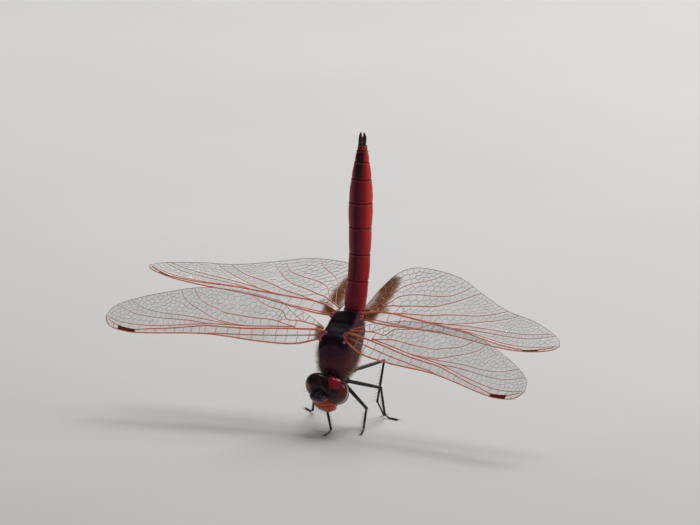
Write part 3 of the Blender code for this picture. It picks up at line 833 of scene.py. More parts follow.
def fit_grown(name, tree, points, edges, values, material, slot, **inputs):
    """Grows a piece from points and edges with a node group, and hands it to the frame."""
    seed = linked(name + "_seed", mesh_of(name + "_seed", points, edges, [], values))
    grow = seed.modifiers.new("grow", "NODES")
    grow.node_group = tree
    identifiers = {
        item.name: item.identifier for item in tree.interface.items_tree if item.in_out == "INPUT"
    }
    for label, value in {**inputs, "Material": material}.items():
        grow[identifiers[label]] = value
    evaluated = seed.evaluated_get(bpy.context.evaluated_depsgraph_get())
    made = bpy.data.meshes.new_from_object(evaluated)
    made.name = name
    bpy.data.objects.remove(seed, do_unlink=True)
    fit_piece(linked(name, made), slot)


# The thorax.


def body_ring(forward, top, bottom, half, roundness, sides):
    """A cross-section of the thorax: its upper half squarer than its egg-shaped lower half."""
    angles = even_angles(sides)
    power = np.where(np.cos(angles) > 0, roundness, 1.0)
    squeeze = 1.0 - THORAX_EGG * np.cos(angles) * roundness
    across = half * bent(np.sin(angles), power) * squeeze / THORAX_WIDEST
    height = (top + bottom) / 2 + (top - bottom) / 2 * bent(np.cos(angles), power)
    return np.stack([np.full(sides, forward), across, height], -1)


def find_body_shift():
    """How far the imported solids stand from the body's frame."""
    rings = np.concatenate([body_ring(*station, 24) for station in THORAX_STATIONS])
    own = in_thorax(rings)
    low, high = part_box("synthorax")
    return (np.array(low) + np.array(high)) / 2 / MM - (own.min(0) + own.max(0)) / 2


BODY_SHIFT = find_body_shift()


def thorax_rows(stations, count, sides, inset):
    """Rings at even steps through stations, drawn in a little from the solid."""
    at = np.linspace(stations[0][0], stations[-1][0], count)
    columns = [through(stations, k, at) for k in range(1, 5)]
    rows = []
    for forward, top, bottom, half, roundness in zip(at, *columns):
        rows.append(body_ring(forward, top - inset, bottom + inset, half - inset, roundness, sides))
    return np.array(rows)


# Humps and hollows between the wings: forward, aside, their reach both ways, and height.
THORAX_HUMPS = [
    (0.10, 0.55, 0.42, 0.40, 0.09),
    (-0.95, 0.0, 0.42, 0.55, 0.07),
    (-0.40, 1.05, 0.30, 0.30, -0.10),
    (-1.75, 0.0, 0.26, 1.20, -0.03),
    (-2.35, 0.55, 0.36, 0.42, 0.04),
    (-3.20, 0.0, 0.40, 0.55, 0.14),
    (-2.75, 1.10, 0.30, 0.30, -0.09),
    (-4.05, 0.0, 0.28, 1.20, -0.02),
    (-0.10, 1.75, 0.45, 0.30, 0.07),
    (-1.30, 1.70, 0.25, 0.35, -0.06),
    (-3.30, 1.70, 0.30, 0.30, 0.06),
]
# Seams down each side of the thorax, as (forward at the wings, forward at the legs).
THORAX_SEAMS = [(0.55, 1.35), (-0.95, 0.10), (-2.35, -1.10)]
FRONT_RIDGE_AT = 1.02


def thorax_relief(rows):
    """How far the skin of the thorax stands out of its smooth shape."""
    forward, aside, up = rows[..., 0], rows[..., 1], rows[..., 2]
    on_top = ease(-1.4, -0.2, up) * ease(1.5, 0.9, forward)
    height = np.zeros(forward.shape)
    for at, off, long, wide, rise in THORAX_HUMPS:
        for side in ((1, -1) if off else (1,)):
            shape = hill(forward - at, long) * hill(aside - off * side, wide)
            height += rise * shape * on_top
    # A keel down the middle of the front, in a shallow hollow.
    front = ease(0.75, 1.0, forward)
    height += 0.10 * hill(aside, 0.07) * front * ease(2.45, 2.2, forward)
    height -= 0.05 * hill(np.abs(aside) - 0.22, 0.12) * front
    # The ridge across the shoulders, and the furrow behind it.
    ridge = hill(forward - FRONT_RIDGE_AT - 0.16 * np.abs(aside), 0.09)
    height += 0.08 * ridge * ease(1.75, 1.45, np.abs(aside)) * ease(-1.6, -0.6, up)
    height -= 0.05 * hill(forward - FRONT_RIDGE_AT + 0.20, 0.12) * on_top * hill(aside, 1.0)
    # The seams down each side, with a low swelling in front of each.
    on_side = ease(0.9, 1.3, np.abs(aside)) * ease(0.2, -0.4, up)
    low = np.clip((0.2 - up) / 5.0, 0.0, 1.0)
    for at_wings, at_legs in THORAX_SEAMS:
        line = at_wings + (at_legs - at_wings) * low
        height -= 0.09 * hill(forward - line, 0.07) * on_side
        height += 0.03 * hill(forward - line - 0.16, 0.12) * on_side
    return height


def thorax_skin_rows(count, sides):
    """The rings of the thorax's own skin, with its relief."""
    rows = thorax_rows(THORAX_STATIONS, count, sides, THORAX_INSET)
    return rows + row_normals(rows) * thorax_relief(rows)[..., None]


def thorax_finish(settings):
    """Dark violet with a bloom of pale wax, black between the wings, and fine pits."""
    finish = Finish(
        "thorax_skin", settings.violet, 0.52,
        Specular_IOR_Level=0.09, Coat_Weight=0.04, Coat_Roughness=0.3,
    )
    finish.paint(finish.blotch(900.0, 4.0, 0.35, 0.68), (0.060, 0.013, 0.028))
    finish.paint(finish.blotch(2600.0, 3.0, 0.40, 0.72), (0.13, 0.07, 0.12), 0.15)
    finish.paint(finish.value("flank"), (0.15, 0.042, 0.042), 0.6)
    finish.paint(finish.value("dark"), (0.010, 0.005, 0.009))
    finish.uneven(3400.0, 0.46, 0.66)
    finish.grain(5200.0, 4.0, 0.03, 0.6, pits=(9000.0, 0.012, 0.5))
    return finish.material


class DROPWING_OT_thorax(Operator):
    """Build the thorax, from the collar behind the neck to the waist"""

    bl_idname = "dropwing.thorax"
    bl_label = "Thorax"

    def execute(self, context):
        settings = context.scene.dropwing_body
        finish = thorax_finish(settings)
        rows = thorax_skin_rows(150, 132)
        forward, up = rows[..., 0], rows[..., 2]
        aside = np.abs(rows[..., 1])
        on_top = ease(-1.1, -0.55, up) * ease(1.05, 0.70, forward - 0.16 * aside)
        between_wings = ease(1.75, 1.40, aside - 0.45 * ease(-1.2, 0.4, forward))
        flank = np.maximum(ease(-0.9, -2.8, up), on_top * (1 - between_wings))
        back = loft_skin(in_thorax(rows), dark=on_top * between_wings, flank=flank)
        rows = thorax_rows(PROTHORAX_STATIONS, 24, 60, SKIN_INSET)
        forward, up = rows[..., 0], rows[..., 2]
        waves = 0.06 * np.cos((forward - 2.5) * 2 * pi / 0.27)
        lobes = 0.07 * hill(np.abs(rows[..., 1]) - 0.32, 0.2) * ease(-3.4, -3.0, up)
        rows = rows + row_normals(rows) * (waves + lobes)[..., None]
        dark = np.full(rows.shape[:2], 0.35)
        collar = loft_skin(in_thorax(rows), dark=dark, flank=ease(-3.6, -4.4, rows[..., 2]))
        skin = joined([back, collar])
        fit_skin("thorax_skin", skin, finish, "thorax_violet", "synthorax", "prothorax")
        path = np.linspace(NECK_FRONT, HEAD_FROM_THORAX + NECK_BACK_OF_HEAD, 24)
        radii = 0.30 + 0.025 * np.cos(np.linspace(0.0, 10 * pi, 24))
        rows = in_thorax(rounded_tube(path, radii, 24))
        whole = np.ones(rows.shape[:2])
        neck = loft_skin(rows, dark=0.2 * whole, flank=0.9 * whole)
        fit_skin("neck_skin", neck, finish, "thorax_violet", "neck")
        return {"FINISHED"}


# The abdomen.

BENT_LENGTH = sum(SEGMENT_LENGTHS[:2])
UPRIGHT_LENGTH = sum(SEGMENT_LENGTHS[2:]) + CERCUS_LENGTH
LEAN_STEP = 0.02


def abdomen_direction(part):
    """Which way the upright length of the abdomen runs, at parts of it from its lower end."""
    before, after = np.maximum(part - LEAN_STEP, 0.0), np.minimum(part + LEAN_STEP, 1.0)
    rise = smooth(ABDOMEN_LEAN_LEFT, after) - smooth(ABDOMEN_LEAN_LEFT, before)
    slope = rise / (after - before) / UPRIGHT_LENGTH
    ahead = np.full(np.shape(part), -sin(ABDOMEN_LEAN_FORWARD))
    above = np.full(np.shape(part), cos(ABDOMEN_LEAN_FORWARD))
    return unit(np.stack([slope, ahead, above], -1))


def abdomen_line(at):
    """The abdomen's centre line, as points and directions, at lengths from its root."""
    at = np.asarray(at, float)
    bend = in_thorax(ABDOMEN_BEND)
    root = in_thorax(ABDOMEN_ROOT)
    handles = (
        root,
        root + THORAX_TURN @ ABDOMEN_ROOT_HANDLE,
        bend - abdomen_direction(np.array(0.0)) * ABDOMEN_BEND_HANDLE,
        bend,
    )
    t = np.clip(at / BENT_LENGTH, 0.0, 1.0)[..., None]
    weights = ((1 - t) ** 3, 3 * t * (1 - t) ** 2, 3 * t**2 * (1 - t), t**3)
    slopes = (
        -3 * (1 - t) ** 2,
        3 * (1 - t) ** 2 - 6 * t * (1 - t),
        6 * t * (1 - t) - 3 * t**2,
        3 * t**2,
    )
    low_points = sum(w * h for w, h in zip(weights, handles))
    low_ways = unit(sum(w * h for w, h in zip(slopes, handles)))
    beyond = np.clip(at - BENT_LENGTH, 0.0, None)
    part = beyond / UPRIGHT_LENGTH
    ahead, above = -sin(ABDOMEN_LEAN_FORWARD) * beyond, cos(ABDOMEN_LEAN_FORWARD) * beyond
    lean = np.stack([smooth(ABDOMEN_LEAN_LEFT, part), ahead, above], -1)
    upright = (at > BENT_LENGTH)[..., None]
    points = np.where(upright, bend + lean, low_points)
    return points, np.where(upright, abdomen_direction(part), low_ways)


# Which way the back of the upright abdomen faces.
ABDOMEN_BACK = np.array((-sin(ABDOMEN_YAW), -cos(ABDOMEN_YAW), 0.0))


def abdomen_axes(directions):
    """Directions across to the animal's right and out of its back, square to the centre line."""
    across = unit(np.cross(directions, ABDOMEN_BACK))
    return across, np.cross(across, directions)


SEGMENT_STARTS = np.concatenate([[0.0], np.cumsum(SEGMENT_LENGTHS)])
# Fine ridges round the first segments, as (segment, part of its length).
CROSS_RIDGES = [(1, 0.45), (2, 0.18), (2, 0.52), (3, 0.12)]
RIM_WIDTH = 0.10
FIRST_RING = 0.02
# How far the abdomen's skin is drawn in from its solids, to leave room for rims and ridges.
ABDOMEN_INSET = 0.045


def abdomen_rows(count, sides):
    """Rings of the abdomen, with the values that its finish reads."""
    last = SEGMENT_STARTS[-1]
    steps = [np.linspace(FIRST_RING, last, count)]
    for start in SEGMENT_STARTS[1:]:
        # Closer rings where the rims and grooves of the joints are.
        steps.append(start + np.linspace(-2.2, 1.2, 18) * RIM_WIDTH)
    at = np.unique(np.clip(np.concatenate(steps), FIRST_RING, last).round(4))
    segment = np.clip(np.searchsorted(SEGMENT_STARTS, at, side="right") - 1, 0, 9)
    inside = (at - SEGMENT_STARTS[segment]) / np.array(SEGMENT_LENGTHS)[segment]
    half = smooth(list(zip(SEGMENT_STARTS, SEGMENT_END_WIDTHS)), at) / 2 - ABDOMEN_INSET
    to_joint = at[:, None] - SEGMENT_STARTS[None, 1:]
    groove = hill(to_joint - 0.03, 0.055).sum(1)
    rim = (hill(to_joint + 0.10, 0.11) * (to_joint < 0)).sum(1)
    barrel = np.sin(pi * inside) ** 0.8
    ridges = sum(
        hill(at - SEGMENT_STARTS[i] - part * SEGMENT_LENGTHS[i], 0.035) for i, part in CROSS_RIDGES
    )
    half = half * (0.970 + 0.048 * barrel) - 0.12 * groove + 0.05 * rim + 0.035 * ridges
    angles = even_angles(sides)
    turned = np.minimum(angles, 2 * pi - angles)[None, :]
    points, directions = abdomen_line(at)
    across, back = abdomen_axes(directions)
    # The section has a keel along the back, a ridge down each side and a furrow in the belly.
    keel = 0.030 * hill(turned, 0.10) + 0.05 * np.maximum(np.cos(turned), 0.0) ** 6
    side_ridge = 0.028 * hill(turned - 1.95, 0.07)
    belly = -0.05 * hill(turned - pi, 0.30)
    half = half[:, None] * (1 + keel + side_ridge + belly)
    side = half * np.sin(angles) * (1.0 - 0.06 * np.cos(angles))
    depth = half * ABDOMEN_FLATNESS * np.cos(angles)
    rows = points[:, None] + across[:, None] * side[..., None] + back[:, None] * depth[..., None]
    joint = np.clip(hill(to_joint - 0.02, 0.06).sum(1) + 0.55 * ridges, 0, 1)
    whole = np.ones((len(at), sides))
    values = {
        "along": (segment + inside)[:, None] * whole,
        "turned": turned * whole,
        "joint": joint[:, None] * whole,
        "rim": np.clip(rim, 0, 1)[:, None] * whole,
        # Which side each point is on: the finish reads it to paint light on the animal's left flank
        # and shade on its right.
        "right": -np.sin(angles) * whole,
    }
    return rows, values


def abdomen_finish(settings):
    """Crimson, bloomed with violet near the waist, with black marks towards the tip.

    "along" counts segments from the waist. "turned" is the angle from the middle of the back.
    """
    finish = Finish(
        "abdomen_skin", settings.crimson, 0.40,
        Specular_IOR_Level=0.16, Coat_Weight=0.06, Coat_Roughness=0.25,
    )
    along, turned, right = (finish.value(name) for name in ("along", "turned", "right"))
    spread, both = finish.spread, finish.both
    finish.paint(finish.blotch(1500.0, 5.0, 0.36, 0.66), (0.21, 0.006, 0.018))
    finish.paint(spread(turned, 0.35, 1.15), (0.52, 0.018, 0.022), 0.85)
    # Painted light and shade: the animal's left flank is painted bright orange as lit, its right
    # flank purple as shaded.
    left = both(spread(right, -0.70, -0.98), spread(along, 3.5, 6.0))
    finish.paint(left, (0.72, 0.050, 0.032), 0.7)
    shaded = both(spread(right, -0.1, 0.8), spread(along, 8.0, 6.5))
    finish.paint(shaded, (0.38, 0.021, 0.066), 0.8)
    bloom = both(spread(along, 4.2, 0.4), finish.blotch(2200.0, 4.0, 0.3, 0.7, 0.55, 1.0))
    finish.paint(bloom, (0.13, 0.010, 0.034), 0.55)
    keel = both(spread(turned, 0.17, 0.05), spread(along, 2.0, 3.5, 0.2, 0.55))
    finish.paint(keel, (0.10, 0.008, 0.020))
    band = both(spread(turned, 0.44, 0.02), spread(along, 2.4, 3.6, 0.10, 0.85))
    finish.paint(band, (0.030, 0.005, 0.013))
    black_width = spread(along, 7.0, 8.9, 0.32, 0.62)
    on_back = spread(finish.maths("SUBTRACT", black_width, turned), -0.16, 0.12)
    towards_tip = both(spread(along, 7.02, 7.25), spread(along, 8.98, 8.86))
    finish.paint(both(on_back, towards_tip), (0.015, 0.008, 0.007))
    tip = spread(along, 8.95, 9.05)
    finish.paint(tip, (0.30, 0.045, 0.018), 0.8)
    finish.paint(both(tip, spread(turned, 0.6, 0.1, 0.0, 0.8)), (0.03, 0.008, 0.008))
    finish.paint(finish.value("joint"), (0.030, 0.004, 0.010), 0.86)
    # A painted highlight: pale along the raised rim at the end of each segment.
    finish.paint(finish.value("rim"), (0.42, 0.09, 0.10), 0.25)
    finish.paint(spread(turned, 2.1, 2.5), (0.16, 0.03, 0.05), 0.6)
    finish.uneven(4200.0, 0.28, 0.50)
    finish.grain(3800.0, 4.0, 0.03, 0.5, pits=(7000.0, 0.014, 0.45))
    return finish.material


def mottled(name, light, dark, scale, roughness, grain, **sockets):
    """A finish that wanders between two colours, with fine relief."""
    finish = Finish(name, light, roughness, **sockets)
    finish.paint(finish.noise(scale), dark)
    finish.grain(*grain)
    return finish.material


# The cerci, as (part of the length, distance from the middle) and (part of the length, radius).
CERCUS_SPREAD = [(0.0, 0.34), (0.4, 0.33), (0.8, 0.26), (1.0, 0.22)]
CERCUS_RADII = [(0.0, 0.16), (0.35, 0.20), (0.75, 0.18), (1.0, 0.06)]
EPIPROCT_RADII = [(0.0, 0.30), (0.5, 0.25), (1.0, 0.14)]


class DROPWING_OT_abdomen(Operator):
    """Build the abdomen's ten segments and the three small parts at its tip"""

    bl_idname = "dropwing.abdomen"
    bl_label = "Abdomen"

    def execute(self, context):
        settings = context.scene.dropwing_body
        rows, values = abdomen_rows(330, 96)
        nodes = [f"abdomen_segment_{i:02d}" for i in range(1, 11)]
        skin = loft_skin(rows, **values)
        fit_skin("abdomen_skin", skin, abdomen_finish(settings), "abdomen_crimson", *nodes)
        end, direction = abdomen_line(SEGMENT_STARTS[-1])
        right, back = abdomen_axes(direction)
        dark = mottled(
            "cercus_black", (0.012, 0.008, 0.010), (0.06, 0.018, 0.018), 2500.0, 0.34,
            (6000.0, 3.0, 0.02), Specular_IOR_Level=0.3,
        )
        parts = np.linspace(0.0, 0.93, 16)
        spread, radii = smooth(CERCUS_SPREAD, parts), smooth(CERCUS_RADII, parts)
        for side, sign in (("left", -1), ("right", 1)):
            path = (
                end + (direction * CERCUS_LENGTH) * parts[:, None]
                + right * (sign * spread)[:, None]
                + back * (0.12 - 0.10 * np.sin(pi * parts) ** 2)[:, None]
            )
            skin = loft_skin(rounded_tube(path, radii, 16))
            fit_skin(f"cercus_{side}_skin", skin, dark, "leg_black", "cercus_" + side)
        orange = mottled(
            "epiproct_orange", (0.50, 0.08, 0.04), (0.30, 0.05, 0.04), 2600.0, 0.4,
            (6000.0, 3.0, 0.02), Coat_Weight=0.2,
        )
        parts = np.linspace(0.0, 0.92, 14)[:, None]
        path = end - back * (0.26 - 0.06 * parts) + direction * EPIPROCT_LENGTH * parts
        skin = loft_skin(rounded_tube(path, smooth(EPIPROCT_RADII, parts[:, 0]), 18))
        fit_skin("epiproct_skin", skin, orange, "abdomen_crimson", "epiproct")
        return {"FINISHED"}


# The head.


def eye_parts(name, colour):
    """A glossy eye's finish, and how far each spot looks ahead, aside and up."""
    finish = Finish(
        name, colour, 0.30,
        Specular_IOR_Level=0.10, Coat_Weight=0.55, Coat_Roughness=0.14, Coat_IOR=1.3,
    )
    ahead, aside, up = finish.parts("gaze")
    wobble = finish.blotch(1100.0, 3.0, 0.2, 0.8, -0.04, 0.04)
    finish.set("Normal", finish.relief(finish.cells(26000.0), 0.006, 0.3))
    return finish, ahead, aside, finish.maths("ADD", up, wobble)


def lit_left_eye_finish(settings):
    """A crimson painted sunlit cap with a sharp lower edge, an olive band, then grey violet, and a
    pale rim.
    """
    finish, ahead, aside, up = eye_parts("compound_eye_left", (0.026, 0.016, 0.014))
    spread, both, times = finish.spread, finish.both, finish.times
    finish.paint(finish.noise(1500.0), (0.050, 0.030, 0.030))
    finish.paint(spread(up, 0.25, -0.30), (0.125, 0.066, 0.068))
    tilted = finish.maths("ADD", up, times(aside, 0.2))
    finish.paint(spread(tilted, 0.52, 0.61), (0.009, 0.007, 0.003))
    # Painted light: the eye's red top is painted bright crimson, as if lit, with a sharp lower
    # edge.
    blotch = finish.blotch(1900.0, 4.0, 0.35, 0.65)
    sunlit_cap = finish.blend(blotch, tuple(settings.eye_red), (0.30, 0.007, 0.022))
    inner = finish.maths("SUBTRACT", aside, times(ahead, 0.45))
    inner = finish.maths("SUBTRACT", inner, spread(ahead, -0.15, -0.60, 0.0, 0.22))
    outer = finish.maths("SUBTRACT", aside, times(ahead, 0.2))
    within = both(spread(inner, -0.17, -0.03), spread(outer, 0.77, 0.67))
    finish.paint(both(spread(tilted, 0.755, 0.800), within), sunlit_cap)
    strip = both(spread(aside, 0.66, 0.80), spread(up, -0.05, 0.20))
    finish.paint(strip, (0.115, 0.016, 0.013))
    front = finish.maths("ADD", times(ahead, 0.45), times(up, 0.75))
    finish.paint(spread(front, -0.14, -0.26), (0.060, 0.040, 0.034))
    rim = both(spread(front, 0.03, -0.05), spread(front, -0.26, -0.16))
    finish.paint(rim, (0.46, 0.36, 0.27), 0.85)
    return finish.material


def shaded_right_eye_finish():
    """Painted in shade: maroon above, blue black in the middle, with olive, an orange painted
    reflection and a pale rim.
    """
    # Painted shade: this eye is the darker, shaded copy of the left one, blue black with a maroon
    # top.
    finish, _, aside, up = eye_parts("compound_eye_right", (0.006, 0.006, 0.014))
    spread, both = finish.spread, finish.both
    blotch = finish.noise(1500.0)
    top = finish.blend(blotch, (0.018, 0.005, 0.008), (0.040, 0.008, 0.013))
    finish.paint(blotch, (0.020, 0.011, 0.020))
    finish.paint(spread(up, 0.45, 0.75), top)
    olive = both(spread(aside, 0.38, 0.60), spread(up, 0.55, 0.80))
    finish.paint(olive, (0.040, 0.032, 0.010), 0.8)
    # A painted reflection: an orange patch on the eye.
    reflected_glow = both(spread(aside, 0.12, 0.30), spread(up, 0.68, 0.56), spread(up, 0.18, 0.36))
    finish.paint(reflected_glow, (0.30, 0.060, 0.022), 0.85)
    rim = both(spread(up, 0.04, -0.12), spread(aside, 0.20, 0.42), spread(up, -0.44, -0.30))
    finish.paint(rim, (0.50, 0.41, 0.32), 0.85)
    return finish.material


def head_ball(centre, radii, count, sides, power=1.0):
    """Rings of a rounded part of the head, drawn in to leave room for its relief."""
    return ball_rows(centre, radii - SKIN_INSET, count, sides, power)


def eye_skin(sign):
    """One compound eye, flat where it meets the other along the middle of the head."""
    centre = EYE_CENTRE * (1, sign, 1)
    rows = head_ball(centre, EYE_RADII, 72, 96, 0.96)
    gaze = unit((rows - centre) / EYE_RADII) * (1, sign, 1)
    aside = rows[..., 1] * sign
    flattened = 0.02 + np.logaddexp(0, (aside - 0.02) * 40) / 40
    rows[..., 1] = sign * np.where(aside < 0.2, flattened, aside)
    return loft_skin(in_head(rows), gaze=gaze)


def face_finish(settings):
    """Orange red, dark in the grooves, with fine pits."""
    finish = Finish(
        "face_orange", settings.face_orange, 0.38, Coat_Weight=0.3, Coat_Roughness=0.15
    )
    finish.paint(finish.blotch(1700.0, 4.0, 0.35, 0.65), (0.44, 0.055, 0.035))
    finish.paint(finish.value("seam"), (0.16, 0.018, 0.016))
    finish.uneven(4000.0, 0.30, 0.48)
    finish.grain(5200.0, 4.0, 0.02, 0.5, pits=(8000.0, 0.012, 0.5))
    return finish.material


def brow_finish():
    """Dark metallic violet, purple and then pink towards the lower edge."""
    finish = Finish(
        "brow_violet", (0.032, 0.008, 0.020), 0.26,
        Metallic=0.55, Coat_Weight=0.9, Coat_Roughness=0.07,
    )
    finish.paint(finish.blotch(1500.0, 4.0, 0.35, 0.65), (0.012, 0.005, 0.010))
    edge = finish.value("edge")
    finish.paint(finish.spread(edge, 0.0, 0.5), (0.070, 0.012, 0.085))
    finish.paint(finish.spread(edge, 0.5, 1.0), (0.34, 0.070, 0.085))
    swell = finish.relief(finish.noise(2600.0, 2.0), 0.02, 0.25)
    finish.set("Normal", finish.relief(finish.cells(9000.0), 0.005, 0.4, swell))
    return finish.material


def face_skin():
    """The face below the brow: two plates and the upper lip, with grooves between them."""
    up = np.linspace(FACE_STATIONS[0][0], FACE_STATIONS[-1][0], 72)[:, None]
    angles = even_angles(84)
    seam = hill(up + 1.02, 0.045) + hill(up + 1.72, 0.045)
    front = through(FACE_STATIONS, 1, up) - SKIN_INSET
    front = front - 0.07 * seam + 0.05 * hill(up + 0.72, 0.2) + 0.07 * hill(up + 1.38, 0.2)
    half = through(FACE_STATIONS, 2, up) - SKIN_INSET
    ahead = front - FACE_DEPTH / 2 * (1 - np.cos(angles))
    aside = (half - 0.04 * seam) * np.sin(angles)
    height = up * np.ones(84)
    dent = 0.06 * hill(aside, 0.10) * ease(-1.8, -2.1, height) * (np.cos(angles) > 0)
    rows = np.stack([ahead - dent, aside, height], -1)
    ends = 1 - 0.5 * hill(up - up[0], 0.12) - 0.3 * hill(up - up[-1], 0.10)
    middle = rows.mean(1, keepdims=True)
    rows = middle + (rows - middle) * ends[..., None]
    return loft_skin(in_head(rows), seam=np.clip(seam, 0, 1) * np.ones(84))


CROWN_CENTRE, CROWN_RADII = np.array((1.44, 0.0, 0.88)), np.array((0.40, 0.36, 0.34))
SIMPLE_EYES = ((1.80, 0.0, 0.98), (1.52, 0.32, 1.08), (1.52, -0.32, 1.08))
SIMPLE_EYE_RADII = np.array((0.085, 0.085, 0.085))
# An antenna's two stout joints and its whip, as (part of the length, radius), and its arch.
ANTENNA_RADII = [
    (0, 0.10), (0.09, 0.10), (0.12, 0.075), (0.22, 0.075), (0.27, 0.032), (1, 0.014),
]
ANTENNA_ARCH = 0.18


class DROPWING_OT_head(Operator):
    """Build the head: eyes, brow, face, lips and antennae"""

    bl_idname = "dropwing.head"
    bl_label = "Head"

    def execute(self, context):
        settings = context.scene.dropwing_head
        # The left eye is painted as lit and the right eye as shaded.
        finishes = (lit_left_eye_finish(settings), shaded_right_eye_finish())
        for side, sign, finish in zip(("left", "right"), (1, -1), finishes):
            fit_skin(f"eye_{side}_skin", eye_skin(sign), finish, "eye_red", "eye_" + side)
        self.add_brow()
        orange = face_finish(settings)
        fit_skin("face_skin", face_skin(), orange, "face_orange", "face")
        rows = head_ball(LABIUM_CENTRE, LABIUM_RADII, 40, 60, 0.94)
        cleft = hill(rows[..., 1], 0.06) * ease(-1.5, -1.8, rows[..., 2])
        rows = rows - row_normals(rows) * (0.10 * cleft)[..., None]
        lip = loft_skin(in_head(rows), seam=0.7 * cleft)
        fit_skin("lower_lip_skin", lip, orange, "face_orange", "labium")
        self.add_antennae()
        return {"FINISHED"}

    def add_brow(self):
        """The metallic brow, the bump with the three simple eyes, and the back of the head."""
        rows = head_ball(FRONS_CENTRE, FRONS_RADII, 56, 84, 0.92)
        ahead, aside, up = rows[..., 0], rows[..., 1], rows[..., 2]
        groove = hill(aside, 0.11) * ease(1.6, 2.2, ahead) * ease(-0.15, 0.3, up)
        rows = rows - row_normals(rows) * (0.09 * groove)[..., None]
        edge = ease(0.74, 0.24, up) + 0.45 * ease(0.60, 1.10, np.abs(aside))
        brow = loft_skin(in_head(rows), edge=np.clip(edge, 0, 1))
        fit_skin("brow_skin", brow, brow_finish(), "head_violet", "frons")
        amber = Finish(
            "simple_eye", (0.10, 0.055, 0.03), 0.10, Coat_Weight=1.0, Coat_Roughness=0.03
        )
        amber.paint(amber.noise(5000.0), (0.04, 0.02, 0.012))
        beads = [ball_rows(np.array(place), SIMPLE_EYE_RADII, 9, 14) for place in SIMPLE_EYES]
        beads = joined([loft_skin(in_head(rows)) for rows in beads])
        fit_skin("simple_eyes", beads, amber.material, "head_violet")
        dark = Finish("head_back", (0.022, 0.011, 0.010), 0.65, Specular_IOR_Level=0.08)
        dark.paint(dark.blotch(1500.0, 4.0, 0.4, 0.6), (0.060, 0.030, 0.022))
        dark.grain(5000.0, 4.0, 0.03)
        shell = loft_skin(in_head(head_ball(CAPSULE_CENTRE, CAPSULE_RADII, 40, 64)))
        fit_skin("head_shell", shell, dark.material, "head_violet", "head_capsule")
        bump = loft_skin(in_head(ball_rows(CROWN_CENTRE, CROWN_RADII, 30, 40)))
        fit_skin("crown_bump", bump, dark.material, "head_violet")

    def add_antennae(self):
        """Two stout joints and a thin whip on each side."""
        black = mottled(
            "antenna_black", (0.010, 0.009, 0.011), (0.04, 0.025, 0.025), 3000.0, 0.35,
            (6000.0, 3.0, 0.01), Coat_Weight=0.3,
        )
        t = np.linspace(0.0, 1.0, 36)
        arch = np.stack([0 * t, 0 * t, ANTENNA_ARCH * np.sin(pi * t)], -1)
        middle = ANTENNA_BASE + (ANTENNA_TIP - ANTENNA_BASE) * t[:, None] + arch
        for side, sign in (("left", 1), ("right", -1)):
            path = middle * (1.0, sign, 1.0)
            skin = loft_skin(in_head(rounded_tube(path, smooth(ANTENNA_RADII, t), 12)))
            fit_skin(f"antenna_{side}_skin", skin, black, "leg_black", "antenna_" + side)


# The legs.


# How thick the parts of a leg are along their lengths, as (part of the length, radius).
COXA_RADII = [(0, 0.52), (0.5, 0.50), (1, 0.36)]
HIP_RADII = [(0, 0.30), (1, 0.24)]
# The same for the thigh, the shin and the joints of the foot, as factors of their own radii.
FEMUR_SHAPE = [(0, 0.85), (0.12, 1.05), (0.6, 1.0), (0.93, 0.82), (0.97, 0.95), (1, 0.86)]
TIBIA_SHAPE = [(0, 1.15), (0.05, 0.95), (0.5, 1.0), (0.95, 0.9), (1, 1.1)]
FOOT_SHAPE = [(0, 0.80), (0.85, 0.95), (1, 1.0)]
THIGH_TOP_LENGTH = 0.35
CLAW_LENGTH = 0.42
CLAW_TIP_HEIGHT = 0.03
SECOND_FOOT_JOINT = 0.42
FEMUR_SPINES, FEMUR_SPINE_LENGTH = 9, 0.34
TIBIA_SPINES, TIBIA_SPINE_LENGTH = 10, 0.62


def shaft(start, end, shape, count, sides, radius=1.0, brown=0.0):
    """A rounded length between two joints. Its radii follow a shape, times a radius."""
    t = np.linspace(0.0, 1.0, count)
    profile = [(part, radius * factor) for part, factor in shape]
    rows = rounded_tube(start + (end - start) * t[:, None], smooth(profile, t), sides)
    return loft_skin(rows, brown=np.full(rows.shape[:2], brown))


